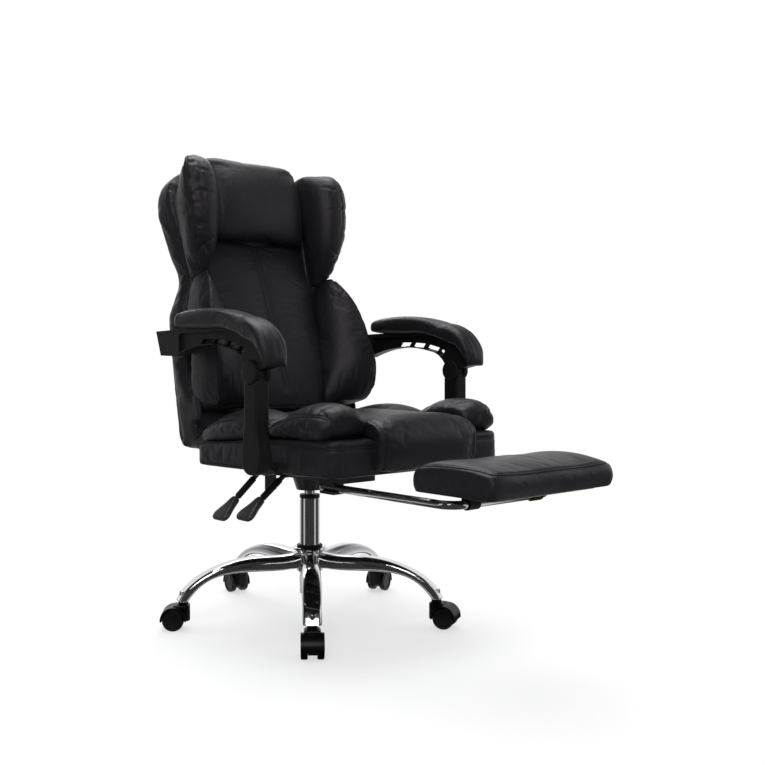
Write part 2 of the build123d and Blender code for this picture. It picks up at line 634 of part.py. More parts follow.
def front_arm_bracket():
    """Plate on the seat's side with the boss and stud that carry the arm post."""
    half = POST_FOOT_RADIUS - 3
    depth = (KNUCKLE_Y - half, KNUCKLE_Y + half)
    plate = block((SEAT_SIDE, SEAT_SIDE + 4), depth, (FOOT_Z - 12, FOOT_Z + 36))
    plate += rod_x(KNUCKLE_Y, FOOT_Z, SEAT_SIDE + 3, POST_INNER - MOVING_GAP, ARM_STUD_DIAMETER / 2 + 8)
    return plate + rod_x(KNUCKLE_Y, FOOT_Z, SEAT_SIDE + 4, POST_OUTER - 7, ARM_STUD_DIAMETER / 2)


def footrest_guide():
    """Bracket under the board; its open side shows the rail."""
    half = RAIL_DIAMETER / 2 + 6
    rear = GUIDE_LENGTH - GUIDE_FRONT
    low = RAIL_LEVEL - RAIL_DIAMETER / 2 - 4
    guide = block((RAIL_X - half, RAIL_X + half), (-GUIDE_FRONT, rear), (low, BOARD_BOTTOM))
    guide -= rod_y(RAIL_X, RAIL_LEVEL, -GUIDE_FRONT - 1, rear + 1, RAIL_DIAMETER / 2 + RUNNING_FIT)
    mouth = RAIL_DIAMETER / 2 - 2
    heights = (RAIL_LEVEL - mouth, RAIL_LEVEL + mouth)
    return guide - block((RAIL_X, RAIL_X + half + 1), (-GUIDE_FRONT - 1, rear + 1), heights)


def footrest_frame():
    path = FilletPolyline(
        (-RAIL_X, -RAIL_REAR, RAIL_LEVEL),
        (-RAIL_X, -CROSSBAR_FRONT, RAIL_LEVEL),
        (RAIL_X, -CROSSBAR_FRONT, RAIL_LEVEL),
        (RAIL_X, -RAIL_REAR, RAIL_LEVEL),
        radius=RAIL_BEND_RADIUS,
    )
    start = Plane(path @ 0, z_dir=path % 0)
    bar = sweep(start * Circle(RAIL_DIAMETER / 2), path=path)
    ends = bar.edges().filter_by(GeomType.CIRCLE).group_by(Axis.Y)[-1]
    return fillet(ends, 4)


def footrest_clamps():
    """Two saddles that hang the footrest on its cross-bar."""
    clamps = []
    outer = RAIL_DIAMETER / 2 + 3
    top = RAIL_LEVEL + FOOTREST_LIFT
    for side in (-1, 1):
        x = side * CLAMP_SPACING / 2
        ends = (x - CLAMP_WIDTH / 2, x + CLAMP_WIDTH / 2)
        clamp = rod_x(-CROSSBAR_FRONT, RAIL_LEVEL, ends[0], ends[1], outer)
        clamp += block(ends, (-CROSSBAR_FRONT - outer, outer - CROSSBAR_FRONT), (RAIL_LEVEL, top))
        bore = RAIL_DIAMETER / 2 + RUNNING_FIT
        clamps.append(clamp - rod_x(-CROSSBAR_FRONT, RAIL_LEVEL, ends[0] - 1, ends[1] + 1, bore))
    return clamps


def footrest_board():
    half = FOOTREST_WIDTH / 2 - FOOTREST_RIM
    low = RAIL_LEVEL + FOOTREST_LIFT
    front = FOOTREST_RIM - CROSSBAR_FRONT - FOOTREST_REACH
    rear = FOOTREST_REAR - CROSSBAR_FRONT - FOOTREST_RIM
    board = block((-half, half), (front, rear), (low, low + FOOTREST_BOARD))
    return fillet(board.edges().filter_by(Axis.Z), 24)


def footrest_side(x, inset, height):
    """Side outline of the footrest pad: flat below, full sides and a crowned top."""
    low = RAIL_LEVEL + FOOTREST_LIFT + FOOTREST_BOARD - FOOTREST_SKIRT
    rear = FOOTREST_REAR - CROSSBAR_FRONT - inset
    front = -CROSSBAR_FRONT - FOOTREST_REACH + inset
    shoulder = low + height * 0.8
    edges = chain(
        (rear - 8, low),
        ((rear, low + height * 0.4), (rear - 9, shoulder)),
        (((front + rear) / 2, low + height), (front + 9, shoulder)),
        ((front, low + height * 0.4), (front + 8, low)),
    )
    return Plane((x, 0, 0), x_dir=(0, 1, 0), z_dir=(1, 0, 0)) * make_face(edges)


def footrest_pad():
    half = FOOTREST_WIDTH / 2
    full = FOOTREST_DEPTH
    sides = ((1, 6, 0.86), (0.94, 1.5, 0.95), (0.6, 0, 0.99))
    stations = [(-half * out, inset, full * tall) for out, inset, tall in sides]
    stations.append((0, 0, full))
    stations += [(half * out, inset, full * tall) for out, inset, tall in reversed(sides)]
    return loft([footrest_side(*station) for station in stations])


def post_outline():
    half = POST_DEPTH / 2
    foot = POST_FOOT_RADIUS
    low = FOOT_Z - POST_FOOT_EDGE
    top = KNUCKLE_Z - POST_SHOULDER
    return rounded_outline(
        [
            (KNUCKLE_Y - half, top, 3),
            (KNUCKLE_Y - half, low + foot * 2.6, 60),
            (KNUCKLE_Y - foot, low + foot * 1.3, 40),
            (KNUCKLE_Y - foot, low, foot * 0.85),
            (KNUCKLE_Y + foot, low, foot * 0.85),
            (KNUCKLE_Y + foot, low + foot * 1.6, 40),
            (KNUCKLE_Y + half, low + foot * 3.2, 60),
            (KNUCKLE_Y + half, top, 3),
        ]
    )


def arm_post():
    """Upright of one arm, on the sitter's left: foot eye below, tongue with its pin above."""
    post = slab_x(post_outline(), POST_INNER, POST_OUTER)
    cheeks = post.faces().sort_by(Axis.X)
    post = fillet(cheeks[0].edges() + cheeks[-1].edges(), 5)
    post -= rod_x(KNUCKLE_Y, KNUCKLE_Z, POST_INNER - 1, POST_OUTER + 1, KNUCKLE_RADIUS + 1)
    tongue = (ARM_MIDDLE - TONGUE_THICKNESS / 2, ARM_MIDDLE + TONGUE_THICKNESS / 2)
    neck = KNUCKLE_RADIUS - 5
    post += rod_x(KNUCKLE_Y, KNUCKLE_Z, tongue[0], tongue[1], neck)
    heights = (KNUCKLE_Z - KNUCKLE_RADIUS - 6, KNUCKLE_Z)
    post += block(tongue, (KNUCKLE_Y - neck, KNUCKLE_Y + neck), heights)
    pin = ARM_THICKNESS / 2 - 2
    post += rod_x(KNUCKLE_Y, KNUCKLE_Z, ARM_MIDDLE - pin, ARM_MIDDLE + pin, ARM_PIN_DIAMETER / 2)
    bore = ARM_STUD_DIAMETER / 2 + RUNNING_FIT
    return post - rod_x(KNUCKLE_Y, FOOT_Z, POST_INNER - 1, POST_OUTER - 6, bore)


def arm_point(back, up):
    """Point on the arm, as parts of its length and arch from the knuckle."""
    return (KNUCKLE_Y + back * ARM_LENGTH, KNUCKLE_Z + up * ARM_ARCH)


def arm_outline():
    return chain(
        arm_point(-0.18, 0.21),
        (arm_point(-0.115, 0.86), arm_point(0.006, 1.2)),
        (arm_point(0.19, 1.51), arm_point(0.40, 1.57)),
        arm_point(0.77, 1.55),
        arm_point(1.09, 1.5),
        arm_point(1.03, 0.58),
        arm_point(0.84, 0.55),
        (arm_point(0.53, 0.93), arm_point(0.2, 0.77)),
        (arm_point(0.12, 0.6), arm_point(0.055, 0.18)),
        (KNUCKLE_Y, KNUCKLE_Z),
        arm_point(-0.055, 0.05),
    )


def arm_web():
    """Outline of the arm's thin middle, inside its lips."""
    return chain(
        arm_point(0.8, 1.38),
        arm_point(0.4, 1.4),
        (arm_point(0.2, 1.34), arm_point(0.035, 1.02)),
        arm_point(0.085, 0.56),
        (arm_point(0.135, 0.71), arm_point(0.2, 0.825)),
        (arm_point(0.53, 0.985), arm_point(0.8, 0.68)),
    )


def arm_vents():
    """Four slanted slots above the arm's lower lip."""
    slots = (
        (0.548, 0.434, 0.985, 0.98),
        (0.412, 0.291, 0.975, 0.92),
        (0.269, 0.153, 0.9, 0.745),
        (0.142, 0.081, 0.725, 0.56),
    )
    for rear, front, low_rear, low_front in slots:
        tall, slant = 0.175, 0.012
        yield chain(
            arm_point(rear + slant, low_rear),
            arm_point(front + slant, low_front),
            arm_point(front - slant, low_front + tall),
            arm_point(rear - slant, low_rear + tall),
        )


def arm_frame():
    """Level part of one arm, on the sitter's left: arch with vents, eye at the rear, forked knuckle."""
    inner, outer = ARM_MIDDLE - ARM_THICKNESS / 2, ARM_MIDDLE + ARM_THICKNESS / 2
    frame = slab_x(arm_outline(), inner, outer)
    frame += rod_x(KNUCKLE_Y, KNUCKLE_Z, inner, outer, KNUCKLE_RADIUS)
    frame -= slab_x(arm_web(), inner - 1, inner + ARM_INNER_RECESS)
    frame -= slab_x(arm_web(), outer - ARM_OUTER_RECESS, outer + 1)
    for vent in arm_vents():
        frame -= slab_x(vent, inner - 1, outer + 1)
    fork = TONGUE_THICKNESS / 2 + MOVING_GAP
    slot = (ARM_MIDDLE - fork, ARM_MIDDLE + fork)
    frame -= rod_x(KNUCKLE_Y, KNUCKLE_Z, slot[0], slot[1], KNUCKLE_RADIUS + 1)
    pin = ARM_PIN_DIAMETER / 2 + RUNNING_FIT
    frame -= rod_x(KNUCKLE_Y, KNUCKLE_Z, inner + 1.8, outer - 1.8, pin)
    return frame - rod_x(HINGE_Y, ARM_REAR_Z, inner - 1, outer - 2.5, ARM_STUD_DIAMETER / 2 - 1 + 0.3)


def arm_pad_side(x, inset):
    """Side outline of an arm's pad: underside along the frame, the rest drawn in towards its edges."""
    tip = arm_point(-0.18, 0.21)
    back, up = inset / ARM_LENGTH, inset / ARM_ARCH
    edges = chain(
        tip,
        (arm_point(-0.115, 0.86), arm_point(0.006, 1.2)),
        (arm_point(0.19, 1.51), arm_point(0.40, 1.57)),
        arm_point(0.76, 1.5504),
        (arm_point(0.785 - back * 0.4, 1.8 - up * 0.4), arm_point(0.74 - back, 2.08 - up)),
        (arm_point(0.42, 2.18 - up), arm_point(0.07, 1.87 - up)),
        (arm_point(-0.13 + back * 0.6, 1.4 - up * 0.7), arm_point(-0.215 + back * 0.8, 0.62 - up * 0.2)),
        (arm_point(-0.214 + back * 0.6, 0.36), tip),
    )
    return Plane((x, 0, 0), x_dir=(0, 1, 0), z_dir=(1, 0, 0)) * make_face(edges)


def arm_pad():
    """Padded top of one arm, following the arch of the frame."""
    half = ARM_PAD_WIDTH / 2
    shape = ((-1, 1), (-0.82, 0.35), (0, 0), (0.82, 0.35), (1, 1))
    pad = loft([arm_pad_side(ARM_MIDDLE + half * out, ARM_PAD_ROUND * inset) for out, inset in shape])
    front, rear = arm_point(-0.216, 0)[0], arm_point(0.79, 0)[0]
    plan = block((ARM_MIDDLE - half, ARM_MIDDLE + half), (front, rear), (KNUCKLE_Z, KNUCKLE_Z + 150))
    corners = plan.edges().filter_by(Axis.Z).group_by(Axis.Y)
    plan = fillet(corners[0], ARM_PAD_NOSE)
    corners = plan.edges().filter_by(Axis.Z).group_by(Axis.Y)
    return pad & fillet(corners[-1], ARM_PAD_TAIL)


def rounded_outline(corners):
    """Closed outline of straight lines, each corner given as (x, y, radius)."""
    arcs = []
    for index, (x, y, radius) in enumerate(corners):
        here = Vector(x, y)
        before = (Vector(*corners[index - 1][:2]) - here).normalized()
        after = (Vector(*corners[(index + 1) % len(corners)][:2]) - here).normalized()
        half = math.radians(before.get_angle(after) / 2)
        reach = radius / math.tan(half)
        middle = here + (before + after).normalized() * (radius / math.sin(half) - radius)
        arcs.append((here + before * reach, middle, here + after * reach))
    edges = []
    for index, (start, middle, end) in enumerate(arcs):
        edges.append(ThreePointArc(start, middle, end))
        edges.append(Line(end, arcs[(index + 1) % len(arcs)][0]))
    return edges


def back_face():
    """Front outline of the back: hips, waist and rounded shoulders, drawn as (x, up)."""
    right_half = (
        (BACK_BOTTOM_WIDTH / 2, -BACK_BOTTOM, 40),
        (BACK_HIP_WIDTH / 2, BACK_PAD_BOTTOM + 16, 60),
        (BACK_HIP_WIDTH / 2, BACK_HIP_TOP, 120),
        (BACK_WAIST_WIDTH / 2, BACK_WAIST, 70),
        (BACK_SHOULDER_WIDTH / 2, BACK_SHOULDER, 120),
        (BACK_SHOULDER_WIDTH / 2, BACK_TOP, 88),
    )
    left_half = [(-x, up, radius) for x, up, radius in reversed(right_half)]
    return rounded_outline(list(right_half) + left_half)


def seat_in_back_frame(shape, recline):
    """Places a piece of the seat as the back sees it at one recline angle."""
    return Rot(BACK_LEAN + recline, 0, 0) * Pos(0, -HINGE_Y, -HINGE_Z) * shape


def clear_of_seat(shape):
    """Cuts away whatever would meet the seat between upright and fully reclined."""
    seat = block((-SEAT_WIDTH, SEAT_WIDTH), (-SEAT_FRONT, SEAT_REAR + 3), (0, CUSHION_TOP - 12))
    seat += block((-SEAT_WIDTH, SEAT_WIDTH), (-SEAT_FRONT, SEAT_REAR - 50), (0, CUSHION_TOP + 4))
    for step in range(5):
        shape -= seat_in_back_frame(seat, RECLINE_TRAVEL * step / 4)
    return shape


def bulge_side(x, deep):
    """Side outline of the back's fuller rear, from the hips down."""
    outline = chain(
        (BACK_REAR - 8, BACK_HIP_TOP - 20),
        ((BACK_REAR + deep * 0.7, BACK_HIP_TOP * 0.45), (BACK_REAR + deep, 30)),
        ((BACK_REAR + deep * 0.8, -8), (BACK_REAR - 8, 4 - BACK_BOTTOM)),
    )
    return Plane((x, 0, 0), x_dir=(0, 1, 0), z_dir=(1, 0, 0)) * make_face(outline)


def back_bulge():
    """Fuller rear of the back behind the loins."""
    side = BACK_HIP_WIDTH / 2 - 6
    shares = ((1, 0.35), (0.96, 0.8), (0.85, 0.96), (0, 1))
    stations = [(-side * out, BACK_BULGE * share) for out, share in shares]
    stations += [(side * out, BACK_BULGE * share) for out, share in reversed(shares[:-1])]
    return loft([bulge_side(*station) for station in stations])


def back_cheek():
    """Leather beside the recline hinge, between the back and the seat, on the sitter's left."""
    cheek = block((SEAT_PLATE_OUTER + 1.5, BACK_HIP_WIDTH / 2), (-49, 0), (27, 92))
    return fillet(cheek.faces().sort_by(Axis.X)[-1].edges(), 5)


def back_shell():
    """Upholstered rear and rim of the back, with the pocket for its board and pad."""
    outline = Plane((0, BACK_REAR, 0), x_dir=(1, 0, 0), z_dir=(0, -1, 0)) * make_face(back_face())
    shell = extrude(outline, BACK_REAR + BACK_RIM)
    shell = fillet(shell.faces().sort_by(Axis.Y)[-1].edges(), BACK_EDGE_ROUND)
    shell += back_bulge()
    top = BACK_TOP - 36
    shell -= block((-POCKET_SIDE, POCKET_SIDE), (-BACK_RIM - 1, BACK_BOARD_REAR), (BACK_PAD_BOTTOM, top))
    shell = clear_of_seat(shell)
    shell += back_cheek()
    shell += mirrored(back_cheek())
    for side in (-1, 1):
        well = sorted((side * (BACK_PLATE_INNER - 1), side * (SEAT_PLATE_OUTER + 1)))
        shell -= rod_x(0, 0, well[0], well[1], HINGE_EYE_RADIUS + 2)
        arm = sorted((side * (BACK_PLATE_INNER - 0.5), side * (BACK_PLATE_OUTER + 0.5)))
        shell -= block(arm, (-1, BACK_BOARD_REAR + 1), (0, 151))
        tab = sorted((side * POCKET_SIDE, side * BACK_PLATE_OUTER))
        shell -= block(tab, (BACK_BOARD_FRONT - 0.5, BACK_BOARD_REAR), (89.5, 150.5))
    shell -= rod_x(0, 0, -BACK_PLATE_OUTER, BACK_PLATE_OUTER, RELEASE_SHAFT_DIAMETER / 2 + 2)
    plate = seat_hinge_plate(1.0)
    for step in range(5):
        swung = seat_in_back_frame(plate, RECLINE_TRAVEL * step / 4)
        shell -= swung
        shell -= mirrored(swung)
    return shell


def back_board():
    depth = (BACK_BOARD_FRONT, BACK_BOARD_REAR)
    return block((-POCKET_SIDE, POCKET_SIDE), depth, (BACK_PAD_BOTTOM, BACK_TOP - 36))


def back_hinge():
    """Steel plate on the back with the hub that turns in the seat's plate, on the sitter's left."""
    eye = HINGE_EYE_RADIUS
    plate = rod_x(0, 0, BACK_PLATE_INNER, BACK_PLATE_OUTER, eye)
    plate += block((BACK_PLATE_INNER, BACK_PLATE_OUTER), (0, BACK_BOARD_REAR), (0, 150))
    plate += block((POCKET_SIDE, BACK_PLATE_OUTER), (BACK_BOARD_FRONT, BACK_BOARD_REAR), (90, 150))
    plate += rod_x(0, 0, BACK_PLATE_OUTER, SEAT_PLATE_OUTER, HINGE_PIVOT_DIAMETER / 2)
    bore = RELEASE_SHAFT_DIAMETER / 2 + RUNNING_FIT
    return plate - rod_x(0, 0, BACK_PLATE_INNER - 1, SEAT_PLATE_OUTER + 1, bore)


def release_shaft():
    return rod_x(HINGE_Y, HINGE_Z, -SEAT_PLATE_OUTER, SEAT_PLATE_OUTER, RELEASE_SHAFT_DIAMETER / 2)


def rear_arm_bracket():
    """Plate on the back's side with boss and stud for the arm's rear eye, on the sitter's left."""
    side = BACK_HIP_WIDTH / 2
    inner = ARM_MIDDLE - ARM_THICKNESS / 2
    lean = math.radians(BACK_LEAN)
    y = -(ARM_REAR_Z - HINGE_Z) * math.sin(lean)
    z = (ARM_REAR_Z - HINGE_Z) * math.cos(lean)
    bracket = block((side, side + 4), (y - 13, 6), (z - 12, z + 24))
    bracket += rod_x(y, z, side, inner - MOVING_GAP, ARM_STUD_DIAMETER / 2 + 6)
    return bracket + rod_x(y, z, side, inner + ARM_THICKNESS - 4, ARM_STUD_DIAMETER / 2 - 1)


def back_pad_section(up, depth, crown):
    """Level section of the back's pad: flat on the board, crowned across the front."""
    half = POCKET_SIDE
    front = BACK_BOARD_FRONT - depth
    edges = chain(
        (half, BACK_BOARD_FRONT),
        (half, front + crown),
        ((0, front), (-half, front + crown)),
        (-half, BACK_BOARD_FRONT),
    )
    return Pos(0, 0, up) * make_face(edges)


def back_pad():
    """Pad from the seat up behind the pillow, thick at the loins and thin at the head."""
    low, high = BACK_PAD_DEPTH, BACK_PAD_TOP_DEPTH
    rim = BACK_BOARD_FRONT + BACK_RIM
    tall = BACK_TOP - 36
    rise = PILLOW_BOTTOM - BACK_PAD_BOTTOM
    stations = (
        (BACK_PAD_BOTTOM, low * 0.93, 16),
        (BACK_PAD_BOTTOM + rise * 0.1, low, 14),
        (BACK_PAD_BOTTOM + rise * 0.45, low * 0.6 + high * 0.4, 12),
        (BACK_PAD_BOTTOM + rise * 0.8, low * 0.3 + high * 0.7, 10),
        (PILLOW_BOTTOM, high, 4),
        (tall, rim, 1),
    )
    return clear_of_seat(loft([back_pad_section(*station) for station in stations]))


def pillow_side(x, inset, depth):
    """Side outline of the head pillow: flat on the back, full front, rolled top and bottom."""
    rear = -BACK_RIM
    low, high = PILLOW_BOTTOM + inset, PILLOW_TOP - inset
    front = rear - depth
    edges = chain(
        (rear, low + 16),
        ((rear - depth * 0.3, low), (rear - depth * 0.74, low + 16)),
        ((front, (low + high) / 2), (rear - depth * 0.76, high - 26)),
        ((rear - depth * 0.32, high), (rear, high - 30)),
    )
    return Plane((x, 0, 0), x_dir=(0, 1, 0), z_dir=(1, 0, 0)) * make_face(edges)


def head_pillow():
    half = PILLOW_WIDTH / 2
    sides = ((1, 14, 0.42), (0.9, 4, 0.72), (0.6, 0, 0.95))
    stations = [(-half * out, inset, PILLOW_DEPTH * full) for out, inset, full in sides]
    stations.append((0, 0, PILLOW_DEPTH))
    stations += [(half * out, inset, PILLOW_DEPTH * full) for out, inset, full in reversed(sides)]
    return loft([pillow_side(*station) for station in stations])


def horn_section(up, inner, outer, tip, bulge, slant):
    """Level section of a side pillow: flat on the rim, full inner face, edge seam at the tip.

    inner and tip are (across, depth); the face between them swells by bulge, leaning inwards by slant.
    """
    rear = -BACK_RIM
    start = (inner[0], rear - inner[1])
    seam = (tip[0], rear - tip[1])
    middle = ((start[0] + seam[0]) / 2 - bulge * slant, (start[1] + seam[1]) / 2 - bulge)
    edges = chain(
        (inner[0], rear),
        start,
        (middle, seam),
        (((tip[0] + outer) / 2 + 4, (seam[1] + rear) / 2), (outer, rear)),
    )
    return Pos(0, 0, up) * make_face(edges)


def wing_pillow():
    """Side pillow beside the head, on the sitter's left."""
    inner = PILLOW_WIDTH / 2 + 4
    stations = (
        (0, 0.86, 0.27, 3),
        (0.22, 0.94, 0.64, 28),
        (0.48, 0.98, 0.86, 34),
        (0.7, 1, 0.92, 36),
        (0.9, 0.97, 0.85, 28),
        (1, 0.9, 0.6, 8),
    )
    sections = []
    for along, reach, depth, bulge in stations:
        up = WING_BOTTOM + (WING_TOP - WING_BOTTOM) * along
        tip = WING_OUT * reach
        deep = WING_DEPTH * depth
        start = inner + (POCKET_SIDE + 14 - inner) * (1 - depth)
        sections.append(horn_section(up, (start, deep * 0.6), tip - 8 * depth, (tip, deep), bulge, 0.1))
    return loft(sections)


def lumbar_bolster():
    """Side bolster beside the loins, on the sitter's left."""
    stations = (
        (0, 0.94, 0.68, 5, 114, 60),
        (0.14, 1, 0.97, 11, 120, 62),
        (0.4, 1, 1, 14, 142, 49),
        (0.68, 0.97, 0.88, 12, 160, 38),
        (0.9, 0.89, 0.7, 8, 182, 31),
        (1, 0.84, 0.5, 3, 196, 24),
    )
    sections = []
    for along, reach, depth, bulge, start, low in stations:
        up = LUMBAR_BOTTOM + (LUMBAR_TOP - LUMBAR_BOTTOM) * along
        tip = LUMBAR_OUT * reach
        sections.append(horn_section(up, (start, low), tip - 2, (tip, LUMBAR_DEPTH * depth), bulge, 1.1))
    return loft(sections)


def build():
    pad = back_pad()
    shell = back_shell()
    pillow = head_pillow() - pad - shell
    lumbar = lumbar_bolster() - pad - shell
    wing = wing_pillow() - pad - shell - pillow - lumbar
    base = seat_base()
    cushion = seat_cushion()
    bolsters = {"front": front_bolster() - cushion - base, "rear": rear_bolster() - cushion - base}
    arm = arm_frame()
    pieces = {
        "star_base": star_base(),
        "column_tube": column_tube(),
        "column_bush": column_bush(),
        "thrust_bearing": thrust_bearing(),
        "piston_rod": piston_rod(),
        "gas_cylinder": gas_cylinder(),
        "release_pin": release_pin(),
        "tilt_mechanism": tilt_mechanism(),
        "seat_bolts": Compound(children=seat_bolts()),
        "lever_pins": Compound(children=lever_pins()),
        "height_lever_rod": lever_rod(HEIGHT_LEVER_FRONT, HEIGHT_TIP_DROP, height_lever_inner()),
        "height_lever_paddle": lever_paddle(HEIGHT_LEVER_FRONT, HEIGHT_TIP_DROP),
        "recline_lever_rod": lever_rod(RECLINE_LEVER_FRONT, RECLINE_TIP_DROP, recline_lever_inner()),
        "recline_lever_paddle": lever_paddle(RECLINE_LEVER_FRONT, RECLINE_TIP_DROP),
        "seat_board": seat_board(),
        "seat_base": base,
        "seat_cushion": cushion,
        "seat_hinge_plates": both_sides(seat_hinge()),
        "front_arm_brackets": both_sides(front_arm_bracket()),
        "footrest_guides": both_sides(footrest_guide()),
        "footrest_frame": footrest_frame(),
        "footrest_clamps": Compound(children=footrest_clamps()),
        "footrest_board": footrest_board(),
        "footrest_pad": footrest_pad() - footrest_board(),
        "release_shaft": release_shaft(),
        "back_shell": BACK_PLACE * shell,
        "back_board": BACK_PLACE * back_board(),
        "back_hinge_plates": BACK_PLACE * both_sides(back_hinge()),
        "rear_arm_brackets": BACK_PLACE * both_sides(rear_arm_bracket()),
        "back_pad": BACK_PLACE * pad,
        "head_pillow": BACK_PLACE * pillow,
    }
    for end, bolster in bolsters.items():
        pieces[f"{end}_bolster_left"] = bolster
        pieces[f"{end}_bolster_right"] = mirrored(bolster)
    for name, piece in (("wing_pillow", wing), ("lumbar_bolster", lumbar)):
        pieces[f"{name}_left"] = BACK_PLACE * piece
        pieces[f"{name}_right"] = BACK_PLACE * mirrored(piece)
    for name, piece in (
        ("arm_post", arm_post()),
        ("arm_frame", arm),
        ("arm_pad", arm_pad() - arm),
    ):
        pieces[f"{name}_left"] = piece
        pieces[f"{name}_right"] = mirrored(piece)
    hood = caster_hood()
    wheels = [caster_wheel(-1), caster_wheel(1)]
    for index in range(LEG_COUNT):
        place = caster_place(index)
        pieces[f"caster_{index + 1}_hood"] = place * hood
        pieces[f"caster_{index + 1}_pins"] = place * Compound(children=caster_pins())
        pair = Compound(children=[copy_of(wheel) for wheel in wheels])
        pieces[f"caster_{index + 1}_wheels"] = place * pair
    return pieces


def copy_of(shape):
    return Pos(0, 0, 0) * shape


os.makedirs("parts", exist_ok=True)
for node, piece in build().items():
    export_step(piece, f"parts/{node}.step")
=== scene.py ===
"""Gaming chair with footrest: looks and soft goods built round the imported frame.

Metres, +Z up. The sitter faces -Y and +X is the sitter's left.
"""

import json
import math

import bmesh
import bpy
import numpy as np
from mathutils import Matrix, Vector
from mathutils.bvhtree import BVHTree


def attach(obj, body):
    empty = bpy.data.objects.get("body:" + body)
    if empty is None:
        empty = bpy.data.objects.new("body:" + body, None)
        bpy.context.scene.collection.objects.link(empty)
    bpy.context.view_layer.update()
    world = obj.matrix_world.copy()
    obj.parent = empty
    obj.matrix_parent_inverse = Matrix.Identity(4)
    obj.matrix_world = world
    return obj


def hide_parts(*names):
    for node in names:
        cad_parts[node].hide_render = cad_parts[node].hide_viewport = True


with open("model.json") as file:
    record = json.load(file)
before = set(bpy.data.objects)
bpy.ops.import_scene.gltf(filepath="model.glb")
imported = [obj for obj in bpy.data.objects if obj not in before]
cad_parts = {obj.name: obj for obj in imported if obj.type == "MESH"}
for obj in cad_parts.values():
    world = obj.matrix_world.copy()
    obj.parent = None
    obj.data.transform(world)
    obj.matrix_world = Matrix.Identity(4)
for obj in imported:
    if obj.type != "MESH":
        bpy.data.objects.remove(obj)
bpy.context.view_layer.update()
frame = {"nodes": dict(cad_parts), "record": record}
scene = bpy.context.scene
scene.view_settings.view_transform = "Standard"
MM = 0.001

# Places that the soft goods are measured from, in millimetres
HINGE = (143.0, 450.0)  # y and z of the recline pivot
BACK_LEAN = math.radians(13.0)

# Camera, at the photograph's place; lengths in pixels of the photograph
IMAGE_SIZE = 765
FOCAL = 953.23
MIDDLE = (328.56, 378.97)  # where the view's axis meets the picture
CAMERA_PLACE = (-1.4507, -1.8046, 0.6212)
CAMERA_PITCH = 0.0179  # radians below level
SENSOR = 36.0
BACKDROP_WAY = (0.642, 0.767, 0.0)  # from the camera to the white backdrop


def make_camera():
    data = bpy.data.cameras.new("camera")
    camera = bpy.data.objects.new("camera", data)
    scene.collection.objects.link(camera)
    data.sensor_width = SENSOR
    data.lens = FOCAL * SENSOR / IMAGE_SIZE
    data.shift_x = (IMAGE_SIZE / 2 - MIDDLE[0]) / IMAGE_SIZE
    data.shift_y = (MIDDLE[1] - IMAGE_SIZE / 2) / IMAGE_SIZE
    data.clip_end = 60
    ahead = Vector(BACKDROP_WAY).normalized()
    look = ahead * math.cos(CAMERA_PITCH) - Vector((0, 0, math.sin(CAMERA_PITCH)))
    camera.location = CAMERA_PLACE
    camera.rotation_euler = look.to_track_quat("-Z", "Y").to_euler()
    scene.camera = camera


# Materials
class Nodes:
    """Shader nodes of one tree, made in order and linked by socket."""

    def __init__(self, tree):
        self.tree = tree

    def add(self, kind, **settings):
        node = self.tree.nodes.new(kind)
        for key, value in settings.items():
            setattr(node, key, value)
        return node

    def link(self, out, socket):
        self.tree.links.new(out, socket)

    def maths(self, operation, *values):
        """One sum of sockets and plain numbers."""
        node = self.add("ShaderNodeMath", operation=operation)
        for socket, value in zip(node.inputs, values):
            if isinstance(value, (int, float)):
                socket.default_value = value
            else:
                self.link(value, socket)
        return node.outputs[0]

    def any_of(self, ray, names):
        """One value that is 1 for any of the named kinds of ray."""
        out = ray.outputs[names[0]]
        for name in names[1:]:
            out = self.maths("MAXIMUM", out, ray.outputs[name])
        return out

    def ramp(self, source, stops):
        node = self.add("ShaderNodeValToRGB")
        marks = node.color_ramp.elements
        while len(marks) < len(stops):
            marks.new(0.5)
        for mark, (at, colour) in zip(marks, stops):
            mark.position = at
            mark.color = (*colour, 1) if len(colour) == 3 else (colour[0],) * 3 + (1,)
        self.link(source, node.inputs["Fac"])
        return node.outputs["Color"]

    def sweep(self, way):
        """Brightness of the studio in a level direction: white ahead, two bright bands behind the camera."""
        ahead = self.add("ShaderNodeVectorMath", operation="DOT_PRODUCT")
        ahead.inputs[1].default_value = BACKDROP_WAY
        self.link(way, ahead.inputs[0])
        return self.ramp(self.maths("MULTIPLY_ADD", ahead.outputs["Value"], 0.5, 0.5), SWEEP)


